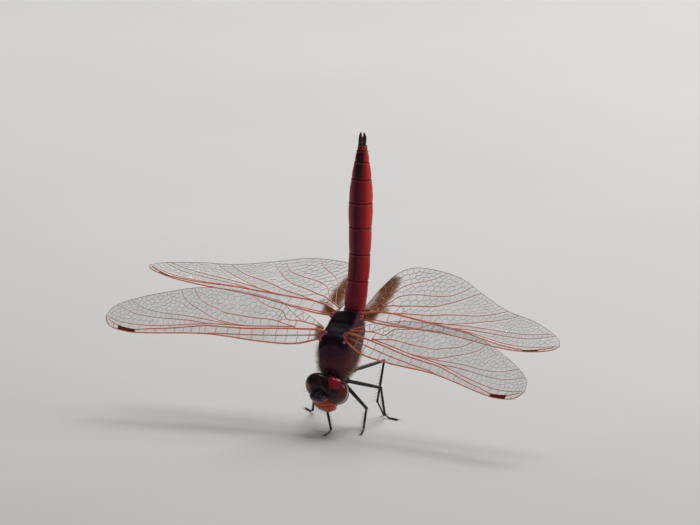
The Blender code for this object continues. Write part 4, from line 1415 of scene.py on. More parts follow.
def leg_skins(name, settings):
    """The parts of one leg, and where its spines stand."""
    hip, knee, ankle, toe = LEGS[name]
    hip, knee, ankle = in_thorax(np.array(hip)), np.array(knee), np.array(ankle)
    thick, thin, foot = settings.femur_radius, settings.tibia_radius, settings.foot_radius
    toe = np.array((*toe, foot))
    inwards = -1 if name.endswith("left") else 1
    above = unit(THORAX_TURN @ np.array((COXA_TILT[0], COXA_TILT[1] * inwards, 1.0)))
    thigh_top = hip + unit(knee - hip) * THIGH_TOP_LENGTH
    skins = [
        shaft(hip + above * COXA_LENGTH, hip, COXA_RADII, 14, 22, brown=1.0),
        shaft(hip - above * 0.05, thigh_top, HIP_RADII, 6, 18, brown=0.7),
        shaft(hip, knee, FEMUR_SHAPE, 40, 16, thick),
        shaft(knee, ankle, TIBIA_SHAPE, 40, 14, thin),
    ]
    heel_part = HEEL_AT + (ankle[2] - LOW_ANKLE) * HEEL_SHIFT
    heel = ankle + (toe - ankle) * min(heel_part, FURTHEST_HEEL)
    heel[2] = foot * 1.05
    joints = [ankle, heel, heel + (toe - heel) * SECOND_FOOT_JOINT, toe]
    for a, b in zip(joints, joints[1:]):
        skins.append(shaft(a, b, FOOT_SHAPE, 12, 12, foot))
    along = unit(toe - heel)
    aside = np.cross(along, (0, 0, 1))
    t = np.linspace(0.0, 1.0, 10)[:, None]
    for sign in (1, -1):
        claw = toe + along * (CLAW_LENGTH * t) + aside * (sign * (0.05 + 0.20 * t**1.5))
        claw = claw + (0, 0, 1) * (0.10 * np.sin(pi * t) - (foot - CLAW_TIP_HEIGHT) * t)
        rows = rounded_tube(claw, np.linspace(0.05, 0.016, 10), 8)
        skins.append(loft_skin(rows, brown=np.zeros(rows.shape[:2])))
    outwards = knee - (hip + ankle) / 2
    spines = []
    for start, end, radius, count, length in (
        (hip, knee, thick, FEMUR_SPINES, FEMUR_SPINE_LENGTH),
        (knee, ankle, thin, TIBIA_SPINES, TIBIA_SPINE_LENGTH),
    ):
        axis = unit(end - start)
        flat = unit(np.cross(axis, outwards))
        under = -unit(outwards - axis * axis.dot(outwards))
        for part in np.linspace(0.22, 0.94, count):
            for sign in (1, -1):
                way = unit(under * 0.62 + flat * (0.75 * sign) + axis * 0.75)
                sunk = (way - axis * way.dot(axis)) * radius * 0.8
                spines.append((start + (end - start) * part + sunk, way, length))
    return skins, spines


def leg_finish():
    """Black, with browner hips."""
    finish = Finish("leg_black", (0.009, 0.008, 0.010), 0.36, Specular_IOR_Level=0.28)
    blotch = finish.blotch(1600.0, 4.0, 0.4, 0.65)
    brown = finish.value("brown")
    hips = finish.blend(blotch, (0.016, 0.006, 0.007), (0.050, 0.019, 0.016))
    finish.paint(blotch, (0.036, 0.030, 0.034))
    finish.paint(brown, hips)
    rough = finish.blotch(3000.0, 3.0, 0.3, 0.7, 0.26, 0.46)
    finish.set("Roughness", finish.maths("ADD", rough, finish.times(brown, 0.35)))
    finish.grain(5200.0, 4.0, 0.02, 0.6)
    return finish.material


class DROPWING_OT_legs(Operator):
    """Build the six legs with their feet, claws and rows of spines"""

    bl_idname = "dropwing.legs"
    bl_label = "Legs"

    def execute(self, context):
        settings = context.scene.dropwing_body
        black = leg_finish()
        spines = []
        for name in LEGS:
            skins, its_spines = leg_skins(name, settings)
            spines += its_spines
            nodes = [f"leg_{name}_{part}" for part in ("coxa", "femur", "tibia", "tarsus")]
            fit_skin("leg_" + name, joined(skins), black, "leg_black", *nodes)
        points, ways, lengths = (np.array(column) for column in zip(*spines))
        places = np.linspace(0.05, 0.95, len(spines))
        values = {
            "lean": ways,
            "droop": np.cross(ways, (0.3, 0.2, 0.9)),
            "span": lengths * MM,
            "root_map": np.stack([places, 0 * places + 0.5, 0 * places], -1),
        }
        fit_grown(
            "leg_spines", bristle_tree(), points, [], values, black, "leg_black",
            Thickness=0.045, Bend=0.05, Sides=5, Steps=4, Splay=0.0,
        )
        return {"FINISHED"}


# The wings.

# The plan of a wing, in millimetres: the step along its lines, and the stops on them.
LINE_STEP = 0.08
CORNER_EVERY = 4
# How far a cross-vein slants, and half the thickness of one, of one by the hinge, and of a brace.
CROSS_SLANT = 0.08
CROSS_RADIUS = 0.034
HINGE_CROSS_RADIUS = 0.045
BRACE_RADIUS = 0.048
# How the cells are spread: the step of their trial places, and the rounds of evening out.
TRIAL_STEP = 0.11
EVENING_ROUNDS = 22
LONGEST_WALL = 4.5
# The area of a cell near the hinge, and how much less it is by the tip, in square millimetres.
HINGE_CELL, LESS_BY_TIP = 0.95, 0.50


def length_along(points):
    """How far each point lies along a line of points."""
    steps = np.linalg.norm(np.diff(points, axis=0), axis=1)
    return np.concatenate([[0.0], np.cumsum(steps)])


def spaced(points):
    """The points of a line, respaced at even steps along it."""
    run = length_along(points)
    count = max(int(round(run[-1] / LINE_STEP)), 2)
    at = np.linspace(0.0, run[-1], count + 1)
    return np.stack([np.interp(at, run, points[:, k]) for k in range(2)], -1)


def outline_of(knots):
    """Points along the smooth line through a wing's outline knots, closer towards the tip."""
    knots = np.array(knots)
    run = length_along(knots)
    steps = np.sin(pi / 2 * np.arange(260) / 259) * run[-1]
    return np.stack([smooth(list(zip(run, knots[:, k])), steps) for k in range(2)], -1)


class WingPlan:
    """One kind of wing laid flat: its lines, its cells' corners and walls, in millimetres."""

    def __init__(self, kind, cell_size, seed):
        self.kind = kind
        self.length = WING_LENGTHS[kind]
        self.random = np.random.default_rng(seed)
        self.cell_size = cell_size
        self.veins = LONG_VEINS[kind]
        self.order = ["costa", *[vein[0] for vein in self.veins], "trailing"]
        front = outline_of(WING_FRONTS[kind]) * self.length
        back = outline_of(WING_BACKS[kind]) * self.length
        self.lines = {"costa": spaced(front), "trailing": spaced(back)}
        for name, _, _, knots, _, _ in self.veins:
            out = np.linspace(knots[0][0], knots[-1][0], 700)
            course = np.stack([out, smooth(knots, out)], -1) * self.length
            self.lines[name] = spaced(course)
        self.stops = {name: set() for name in self.lines}
        self.all_points = np.concatenate(list(self.lines.values()))
        self.all_keys = [(name, i) for name, line in self.lines.items() for i in range(len(line))]
        self.walls = []
        self.lay_long_veins()
        self.lay_cross_veins()
        self.lay_cells()
        self.divide()

    def nearest(self, name, point):
        """The stop on a line that lies nearest to a point."""
        gaps = np.linalg.norm(self.lines[name] - point, axis=1)
        return name, int(gaps.argmin())

    def nearest_of_all(self, point):
        """The stop that lies nearest to a point, on whichever line."""
        gaps = np.linalg.norm(self.all_points - point, axis=1)
        return self.all_keys[int(gaps.argmin())]

    def place(self, key):
        """Where a corner is: on a line, or at a place of its own."""
        return self.lines[key[0]][key[1]] if isinstance(key[1], int) else np.array(key)

    def lay_long_veins(self):
        """Sets the stops along every line, and where each long vein starts and ends."""
        for name, line in self.lines.items():
            self.stops[name].update(range(0, len(line), CORNER_EVERY))
            self.stops[name].add(len(line) - 1)
        self.ends = {}
        for name, parent, into, knots, _, _ in self.veins:
            line = self.lines[name]
            if knots[0][0] > 0.0:
                self.ends[name, 0] = self.nearest(parent, line[0])
            if into:
                self.ends[name, len(line) - 1] = self.nearest(into, line[-1])

    def lines_at(self, out):
        """How far back each line lies at places along the wing, in order, in millimetres."""
        rows = {name: np.interp(out, line[:, 0], line[:, 1]) for name, line in self.lines.items()}
        for name, parent, into, _, _, _ in self.veins:
            line = self.lines[name]
            rows[name] = np.where(out < line[0, 0], rows[parent], rows[name])
            if into:
                rows[name] = np.where(out > line[-1, 0], rows[into], rows[name])
        stack = np.array([rows[name] for name in self.order])
        stack = np.maximum.accumulate(stack, axis=0)
        return np.minimum(stack, stack[-1])

    def heights_at(self, points):
        """How far the wing's folds lift points of it: long veins stand on ridges and in furrows."""
        out, back = points[:, 0], points[:, 1]
        lines = self.lines_at(out)
        lifts = np.zeros_like(lines)
        for name, parent, into, knots, _, lift in self.veins:
            i, before = self.order.index(name), lifts[self.order.index(parent)]
            start, end = self.lines[name][0, 0], self.lines[name][-1, 0]
            grown_in = ease(0.0, 1.6, out - start) if knots[0][0] > 0 else 1.0
            own = lift * (1.0 - 0.55 * out / self.length)
            near_edge = ease(0.0, 1.0, lines[-1] - lines[i])
            lifts[i] = (before * (1 - grown_in) + own * grown_in) * near_edge
            lifts[i] = np.where(out < start, before, lifts[i])
            if into == "costa":
                lifts[i] = lifts[i] * ease(0.0, 0.9, end - out)
        height = np.zeros(len(points))
        for i in range(len(self.order) - 1):
            low, high = lines[i], lines[i + 1]
            here = (back >= low) & (back <= high) & (high > low + 1e-6)
            t = np.clip((back - low) / np.maximum(high - low, 1e-6), 0, 1)
            height = np.where(here, lifts[i] * (1 - t) + lifts[i + 1] * t, height)
        return height

    def add_wall(self, first, second, width):
        """A wall between two corners, which makes a stop where it meets a line."""
        for key in (first, second):
            if isinstance(key[1], int):
                self.stops[key[0]].add(key[1])
        if first != second:
            self.walls.append((first, second, width))

    def lay_cross_veins(self):
        """Lays the straight cross-veins, with a little jitter, and then the braces."""
        for first, second, places in CROSS_VEINS[self.kind]:
            for place in places:
                out = place * self.length + self.random.normal(0.0, 0.05)
                ends = []
                for name, at in ((first, out), (second, out - CROSS_SLANT)):
                    back = self.lines_at(np.array([at]))[self.order.index(name), 0]
                    ends.append(self.nearest(name, np.array((at, back))))
                self.add_wall(*ends, CROSS_RADIUS if place > 0.1 else HINGE_CROSS_RADIUS)
        for brace in BRACES[self.kind]:
            ends = [self.nearest_of_all(np.array(point) * self.length) for point in brace]
            self.add_wall(*ends, BRACE_RADIUS)

    def cell_area(self, points):
        """The area that a cell has at a place, in square millimetres."""
        out = points[:, 0] / self.length
        lines = self.lines_at(points[:, 0])
        rear = (points[:, 1] - lines[0]) / np.maximum(lines[-1] - lines[0], 0.1)
        area = HINGE_CELL - LESS_BY_TIP * ease(0.10, 0.75, out)
        return area * (1.0 - 0.42 * ease(0.35, 1.0, rear)) * self.cell_size

    def sector_of(self, points):
        """Which strip between neighbouring lines each point lies in."""
        lines = self.lines_at(points[:, 0])
        return (points[:, 1] >= lines).sum(0) - 1

    def in_triangle(self, points):
        """Whether each point lies in the wing's triangle, which has no cells of its own."""
        corners = np.array(TRIANGLES[self.kind]) * self.length
        signs = []
        for a, b in zip(corners, np.roll(corners, -1, 0)):
            edge, to_point = b - a, points - a
            signs.append(edge[0] * to_point[:, 1] - edge[1] * to_point[:, 0] > 0)
        signs = np.array(signs)
        return signs.all(0) | (~signs).all(0)

    def lay_cells(self):
        """Fills the strips between the long veins with cells of an even size."""
        trial_out = np.arange(-0.3, self.length, TRIAL_STEP)
        trial_back = np.arange(-1.0, 10.0, TRIAL_STEP)
        out, back = np.meshgrid(trial_out, trial_back, indexing="ij")
        points = np.stack([out, back], -1).reshape(-1, 2)
        points = points + self.random.uniform(-0.45, 0.45, points.shape) * TRIAL_STEP
        sector = self.sector_of(points)
        weight = TRIAL_STEP**2 / self.cell_area(points)
        arculus = BRACES[self.kind][0][0][0] * self.length
        bare = (points[:, 0] < arculus) & (sector == self.order.index("median"))
        bare |= self.in_triangle(points)
        for i in range(self.order.index("radial_1"), len(self.order) - 1):
            chosen = (sector == i) & ~bare
            self.fill_sector(i, points[chosen], weight[chosen])

    def fill_sector(self, sector, points, weight):
        """Spreads cells over a strip, then mirrors them in its borders, so that walls meet them."""
        count = int(round(weight.sum()))
        if count < 2:
            return
        chosen = self.random.choice(len(points), count, replace=False, p=weight / weight.sum())
        seeds = points[chosen]
        for _ in range(EVENING_ROUNDS):
            owner = ((points[:, None] - seeds[None]) ** 2).sum(-1).argmin(1)
            total = np.bincount(owner, weight, count)
            for axis in range(2):
                moved = np.bincount(owner, weight * points[:, axis], count)
                moved = moved / np.maximum(total, 1e-9)
                seeds[:, axis] = np.where(total > 0, moved, seeds[:, axis])
        at = np.linspace(-0.3, self.length, 900)
        lines = self.lines_at(at)
        everything = [seeds]
        for edge in (lines[sector], lines[sector + 1]):
            border = np.stack([at, edge], -1)
            gaps = ((seeds[:, None] - border[None]) ** 2).sum(-1)
            mirrored = 2 * border[gaps.argmin(1)] - seeds
            everything.append(mirrored[self.sector_of(mirrored) != sector])
        corners, _, faces, origin, _, _ = delaunay_2d_cdt(
            [Vector(point) for point in np.concatenate(everything)], [], [], 0, 1e-5, True
        )
        self.join_centres(np.array([tuple(c) for c in corners]), faces, origin, count, sector)

    def join_centres(self, corners, faces, origin, count, sector):
        """Draws the wall between every two neighbouring cells of a strip."""
        real = np.array([any(i < count for i in ids) for ids in origin])
        faces = [face for face in faces if len(face) == 3]
        triangles = corners[np.array(faces)]
        a = triangles[:, 0]
        b, c = triangles[:, 1] - a, triangles[:, 2] - a
        cross = 2 * (b[:, 0] * c[:, 1] - b[:, 1] * c[:, 0])
        bb, cc = (b**2).sum(1), (c**2).sum(1)
        out = (c[:, 1] * bb - b[:, 1] * cc) / cross
        centres = a + np.stack([out, (b[:, 0] * cc - c[:, 0] * bb) / cross], -1)
        sharing = {}
        for i, face in enumerate(faces):
            for j, k in zip(face, [*face[1:], face[0]]):
                if real[j] and real[k]:
                    sharing.setdefault((min(j, k), max(j, k)), []).append(i)
        inner = np.array([all(real[list(face)]) for face in faces])
        inside = (self.sector_of(centres) == sector) & inner
        for pair in sorted(sharing):
            owners = sharing[pair]
            if len(owners) != 2:
                continue
            ends = [centres[i] for i in owners]
            if np.linalg.norm(ends[0] - ends[1]) > LONGEST_WALL:
                continue
            middle = (ends[0] + ends[1]) / 2
            if self.sector_of(middle[None])[0] != sector:
                continue
            keys = []
            for i, end in zip(owners, ends):
                if inside[i]:
                    keys.append((round(float(end[0]), 3), round(float(end[1]), 3)))
                    continue
                back = end
                while np.linalg.norm(back - middle) > 0.01:
                    if self.sector_of(back[None])[0] == sector:
                        break
                    back = back + (middle - back) * 0.1
                keys.append(self.nearest_of_all(back))
            self.add_wall(*keys, 0.0)

    def divide(self):
        """Splits the wing into its cells, and keeps their corners, faces and walls."""
        index, corners, edges, kinds = {}, [], [], []

        def corner(key):
            key = self.ends.get(key, key)
            if key not in index:
                index[key] = len(corners)
                corners.append(self.place(key))
            return index[key]

        for name, stop in self.ends.values():
            self.stops[name].add(stop)
        for name in self.lines:
            stops = sorted(self.stops[name])
            for i, j in zip(stops, stops[1:]):
                edges.append((corner((name, i)), corner((name, j))))
                kinds.append(None)
        for first, second, width in self.walls:
            edges.append((corner(first), corner(second)))
            kinds.append(width)
        front = [corner(("costa", i)) for i in sorted(self.stops["costa"])]
        rear = [corner(("trailing", i)) for i in sorted(self.stops["trailing"])]
        outline = front + rear[::-1][1:]
        found = delaunay_2d_cdt([Vector(c) for c in corners], edges, [outline], 4, 1e-4, True)
        self.corners = np.array([tuple(point) for point in found[0]])
        self.faces = [list(face) for face, whole in zip(found[2], found[5]) if whole]
        self.wall_edges, self.wall_widths = [], []
        for edge, origins in zip(found[1], found[4]):
            widths = [kinds[i] for i in origins if i < len(kinds)]
            if widths and None not in widths:
                self.wall_edges.append(edge)
                self.wall_widths.append(max(widths))


def wing_points(name, flat, rise=0.0):
    """Points laid flat on a wing's plan, in millimetres, placed in the body's frame."""
    sweep, lift, pitch_root, pitch_tip = (radians(angle) for angle in WING_POSES[name])
    kind = name[:4]
    out, back = flat[:, 0], flat[:, 1]
    pitch = pitch_root + (pitch_tip - pitch_root) * (out / WING_LENGTHS[kind])
    local = np.stack([-back * np.cos(pitch), out, back * np.sin(pitch)], -1)
    above = np.stack([np.sin(pitch), 0 * pitch, np.cos(pitch)], -1)
    local = local + above * np.reshape(rise, (-1, 1))
    turn = np.array(Matrix.Rotation(sweep, 3, "Z").inverted() @ Matrix.Rotation(lift, 3, "X"))
    placed = local @ turn.T + WING_ROOTS[kind]
    if name.endswith("right"):
        placed = placed * (1, -1, 1)
    return in_thorax(placed)


def amber_at(kind, out, back):
    """How strongly the base of a wing is stained amber."""
    if kind == "fore":
        return 0.8 * ease(0.050, 0.020, out) * ease(0.085, 0.05, back)
    patch = ease(0.100, 0.060, out + 0.10 * np.abs(back - 0.16)) * ease(0.285, 0.235, back)
    streak = ease(0.13, 0.09, out) * hill(back - 0.062 - 0.10 * out, 0.016)
    return np.clip(0.95 * patch + streak, 0, 1)


def milky_at(kind, out, back):
    """The pale, thicker skin at the inner edge of a wing."""
    if kind == "fore":
        return ease(0.020, 0.008, out) * ease(0.05, 0.065, back)
    return ease(0.016, 0.009, out) * ease(0.055, 0.07, back) * ease(0.175, 0.15, back)


MEMBRANE_THICKNESS = 0.022
# How high the skin of a cell domes, and where the rings of its dome lie, from rim to middle.
CELL_LIFT = 0.10
CELL_RINGS = (0.35, 0.72)


def chart_of_wing(out, back, share):
    """The place of each point of a wing on its unwrap, of which it fills a share in height."""
    return np.stack([0.02 + 0.95 * out, 0.01 + (back + 0.04) / 0.40 * share], -1)


def membrane_skin(plan, name, side_seed):
    """The clear skin of a wing: one shallow dome in every cell, closed by a thin underside."""
    random = np.random.default_rng(side_seed)
    flat = list(plan.corners)
    rise = list(plan.heights_at(plan.corners))
    faces, rims = [], {}
    for face in plan.faces:
        ring = plan.corners[face]
        base = np.array([rise[i] for i in face])
        after = np.roll(ring, -1, 0)
        twice_area = np.dot(ring[:, 0], after[:, 1]) - np.dot(ring[:, 1], after[:, 0])
        size = np.sqrt(abs(twice_area) / 2)
        dome = CELL_LIFT * min(size, 1.2) * random.uniform(0.25, 1.0)
        centre = ring.mean(0) + random.normal(0.0, 0.10, 2) * min(size, 1.0)
        sides = [(k, (k + 1) % len(face)) for k in range(len(face))]
        rims.update(dict.fromkeys((face[k], face[n]) for k, n in sides))
        outer = list(face)
        for t in CELL_RINGS:
            inner = list(range(len(flat), len(flat) + len(face)))
            flat.extend(ring + (centre - ring) * t)
            rise.extend(base + (base.mean() - base) * t + dome * (1 - (1 - t) ** 2))
            faces += [(outer[k], outer[n], inner[n], inner[k]) for k, n in sides]
            outer = inner
        faces += [(outer[k], outer[n], len(flat)) for k, n in sides]
        flat.append(centre)
        rise.append(base.mean() + dome)
    flat, rise = np.array(flat), np.array(rise)
    count = len(flat)
    top = wing_points(name, flat, rise)
    under = wing_points(name, flat, rise - MEMBRANE_THICKNESS)
    faces += [[i + count for i in face[::-1]] for face in faces]
    faces += [(b, a, a + count, b + count) for a, b in rims if (b, a) not in rims]
    out, back = flat[:, 0] / plan.length, flat[:, 1] / plan.length
    chart = chart_of_wing(out, back, 0.46)
    return Skin(
        np.concatenate([top, under]), faces, np.concatenate([chart, chart + (0.0, 0.5)]),
        out=np.tile(out, 2),
        amber=np.tile(amber_at(plan.kind, out, back), 2),
        milky=np.tile(milky_at(plan.kind, out, back), 2),
    )


def membrane_finish(settings):
    """Clear and glossy with blotches of painted whitish sheen, stained amber and milky white by the
    body.
    """
    finish = Finish(
        "wing_membrane", (0.66, 0.63, 0.60), 0.20,
        Specular_IOR_Level=0.6, Coat_Weight=0.6, Coat_Roughness=0.06,
    )
    amber, milky = finish.value("amber"), finish.value("milky")
    # Blotches of painted whitish sheen, which also make the skin a little less clear.
    whitish_sheen = finish.blotch(700.0, 3.0, 0.35, 0.65)
    finish.paint(whitish_sheen, (0.80, 0.78, 0.75))
    stain = finish.blend(finish.noise(1800.0), (0.36, 0.128, 0.006), (0.15, 0.048, 0.003))
    finish.paint(finish.spread(amber, 0.0, 0.08), stain)
    finish.paint(milky, (0.80, 0.79, 0.76))
    thin = finish.spread(finish.value("out"), 0.06, 0.34, 0.35, 1.0)
    clear = finish.maths("ADD", settings.membrane_alpha, finish.times(whitish_sheen, 0.05))
    body = finish.maths("MAXIMUM", finish.times(amber, 0.94), finish.times(milky, 0.85))
    finish.set("Alpha", finish.maths("MAXIMUM", finish.times(clear, thin), body))
    finish.grain(2600.0, 2.0, 0.05, 0.5)
    return finish.material


def vein_finish(settings):
    """Coral veins that turn brown and grey towards the tip and the trailing edge, the grey partly a
    painted whitish sheen.
    """
    finish = Finish(
        "wing_veins", settings.vein_colour, 0.34, Coat_Weight=0.4, Coat_Roughness=0.15
    )
    fade, amber, rank = finish.parts("plan")
    finish.paint(finish.blotch(1500.0, 3.0, 0.35, 0.65), (0.88, 0.16, 0.070))
    coral = finish.colour
    main = finish.blend(finish.spread(fade, 0.55, 1.0, 0.0, 0.7), coral, (0.60, 0.30, 0.22))
    # Pale grey pink for the cell walls and the trailing edge away from the hinge: partly the veins'
    # own fading, partly a painted whitish sheen.
    finish.paint(finish.spread(fade, 0.08, 0.32), (0.58, 0.48, 0.43))
    finish.paint(rank, main)
    finish.paint(amber, (0.40, 0.16, 0.04), 0.5)
    finish.grain(7000.0, 3.0, 0.01)
    return finish.material


def vein_values(plan, flat, radius, rank):
    """What the tubes and their finish read at the points of a wing's veins."""
    out, back = flat[:, 0] / plan.length, flat[:, 1] / plan.length
    chart = chart_of_wing(out, back, 0.96)
    fade = out * (0.3 + 0.7 * ease(0.03, 0.07, back)) + 2.0 * np.maximum(back - 0.05, 0)
    return {
        "radius": radius,
        "plan": np.stack([fade, amber_at(plan.kind, out, back), rank + 0 * out], -1),
        "root_map": np.concatenate([chart, 0 * chart[:, :1]], -1),
    }


# Half the thickness of a wing's edges, at the root and at the tip.
EDGE_RADII = {"costa": (0.085, 0.050), "trailing": (0.030, 0.030)}


def long_vein_points(plan):
    """The courses of a wing's long veins and edges, one after another, with their radii."""
    flats, radii, ranks, edges = [], [], [], []
    start = 0
    widths = {**EDGE_RADII, **{vein[0]: vein[4] for vein in plan.veins}}
    for name, line in plan.lines.items():
        course = line[::2]
        if (len(line) - 1) % 2:
            course = np.concatenate([course, line[-1:]])
        course = course.copy()
        for end, where in ((0, 0), (len(line) - 1, -1)):
            if (name, end) in plan.ends:
                course[where] = plan.place(plan.ends[name, end])
        t = np.linspace(0.0, 1.0, len(course))
        thick, thin = widths[name]
        radius = thin + (thick - thin) * (1 - t) ** 1.1
        if name not in EDGE_RADII:
            radius = radius * (1 + 0.5 * hill(course[:, 0], 1.6))
        flats.append(course)
        radii.append(radius)
        ranks.append(np.full(len(course), float(name != "trailing")))
        edges += [(start + i, start + i + 1) for i in range(len(course) - 1)]
        start += len(course)
    return np.concatenate(flats), np.concatenate(radii), np.concatenate(ranks), edges


def cell_wall_radii(plan):
    """Half the thickness of the cell walls at each corner: thin, and thicker by cross-veins."""
    out = plan.corners[:, 0] / plan.length
    radii = 0.028 - 0.013 * ease(0.05, 0.5, out)
    for edge, given in zip(plan.wall_edges, plan.wall_widths):
        for corner in edge:
            radii[corner] = max(radii[corner], 0.75 * given)
    return radii


STIGMA_RISE = 0.075


def stigma_skin(plan, name):
    """The thick dark cell near a wing's tip."""
    first, last = (part * plan.length for part in PTEROSTIGMAS[plan.kind])
    out = np.linspace(first, last, 40)
    lines = plan.lines_at(out)
    front, rear = lines[0], lines[plan.order.index("radius")]
    angles = even_angles(28)
    across, above = bent(np.cos(angles), 0.5), bent(np.sin(angles), 0.8)
    ends = np.sqrt(np.clip(1 - (2 * (out - first) / (last - first) - 1) ** 12, 0.02, 1))
    rows = []
    for at, a, b, end in zip(out, front, rear, ends):
        flat = np.stack([np.full(28, at), (a + b) / 2 + (b - a) / 2 * 1.05 * across], -1)
        lift = plan.heights_at(flat) + STIGMA_RISE * above * end
        rows.append(wing_points(name, flat, lift))
    out, ends = out[:, None], ends[:, None]
    edge = np.abs(np.cos(angles)) ** 3 + (1 - ends)
    edge = edge + hill(out - first, 0.10) + hill(out - last, 0.10)
    return loft_skin(np.array(rows), edge=np.clip(edge, 0, 1))


# Lumps of the hinge: (out, back, rise) from the wing's root and their radii, in millimetres.
HINGE_LUMPS = [
    ((-0.05, -0.28, 0.10), (0.50, 0.25, 0.16)),
    ((0.05, 0.16, 0.12), (0.44, 0.23, 0.18)),
    ((-0.36, -0.46, 0.14), (0.26, 0.34, 0.12)),
    ((-0.42, 0.08, 0.18), (0.32, 0.36, 0.11)),
    ((0.10, 0.52, 0.08), (0.40, 0.20, 0.13)),
    ((-0.38, 0.58, 0.18), (0.24, 0.34, 0.10)),
    ((0.02, 0.86, 0.06), (0.36, 0.20, 0.11)),
]


def hinge_skin(name):
    """The small hard plates that a wing turns on."""
    lumps = []
    for (out, back, rise), radii in HINGE_LUMPS:
        ball = ball_rows(np.array((out, back, rise)), np.array(radii), 14, 20, 0.72)
        flat = ball.reshape(-1, 3)
        lumps.append(loft_skin(wing_points(name, flat, flat[:, 2]).reshape(ball.shape)))
    return joined(lumps)


class DROPWING_OT_wings(Operator):
    """Build the four wings: clear skin, long veins, cell walls, dark cells and hinges"""

    bl_idname = "dropwing.wings"
    bl_label = "Wings"

    def execute(self, context):
        settings = context.scene.dropwing_wings
        tubes = vein_tree()
        membrane, veins = membrane_finish(settings), vein_finish(settings)
        stigma, hinge = self.stigma_finish(), self.hinge_finish()
        plans = {
            kind: WingPlan(kind, settings.cell_size, settings.seed + i)
            for i, kind in enumerate(("fore", "hind"))
        }
        for i, name in enumerate(WING_POSES):
            plan = plans[name[:4]]
            skin = membrane_skin(plan, name, settings.seed + i)
            fit_skin(name + "_membrane", skin, membrane, "wing_membrane", name)
            cells = plan.corners, cell_wall_radii(plan), 0.0, plan.wall_edges
            for part, sides, (flat, radii, rank, edges) in (
                ("_veins", 8, long_vein_points(plan)), ("_cells", 5, cells),
            ):
                fit_grown(
                    name + part, tubes, wing_points(name, flat, plan.heights_at(flat)), edges,
                    vein_values(plan, flat, radii, rank), veins, "wing_membrane",
                    Thickness=settings.vein_thickness, Sides=sides,
                )
            fit_skin(name + "_stigma", stigma_skin(plan, name), stigma, "wing_membrane")
            fit_skin(name + "_hinge", hinge_skin(name), hinge, "wing_membrane")
        return {"FINISHED"}

    def stigma_finish(self):
        finish = Finish(
            "dark_wing_cell", (0.19, 0.014, 0.008), 0.35, Coat_Weight=0.5, Coat_Roughness=0.12
        )
        finish.paint(finish.noise(2400.0), (0.10, 0.010, 0.008))
        finish.paint(finish.value("edge"), (0.012, 0.006, 0.006))
        finish.grain(5000.0, 4.0, 0.02)
        return finish.material

    def hinge_finish(self):
        finish = Finish(
            "wing_hinge", (0.66, 0.090, 0.110), 0.32, Coat_Weight=0.9, Coat_Roughness=0.08
        )
        finish.paint(finish.blotch(2200.0, 3.0, 0.42, 0.62), (0.10, 0.012, 0.030))
        finish.grain(3200.0, 3.0, 0.12)
        return finish.material


# Hair.


def hair_on(rows, chart, weight, count, length, random, towards, flat):
    """Roots, directions and lengths of hairs scattered over closed rows of points."""
    around = np.linalg.norm(np.roll(rows, -1, 1) - rows, axis=-1)
    along = np.linalg.norm(np.gradient(rows, axis=0), axis=-1)
    chance = (weight * around * along).reshape(-1)
    chosen = random.choice(len(chance), count, p=chance / chance.sum())
    normal = row_normals(rows).reshape(-1, 3)[chosen]
    drift = unit(towards - normal * (towards * normal).sum(1, keepdims=True))
    lean = normal * (1 - flat) + drift * flat + random.normal(0.0, 0.22, normal.shape)
    jitter = random.normal(0.0, 0.03, normal.shape)
    values = {
        "lean": unit(lean),
        "droop": drift + random.normal(0.0, 0.4, normal.shape),
        "span": length * random.uniform(0.55, 1.25, count) * MM,
        "root_map": np.concatenate([chart.reshape(-1, 2)[chosen], np.zeros((count, 1))], 1),
    }
    return rows.reshape(-1, 3)[chosen] + jitter - normal * 0.04, values


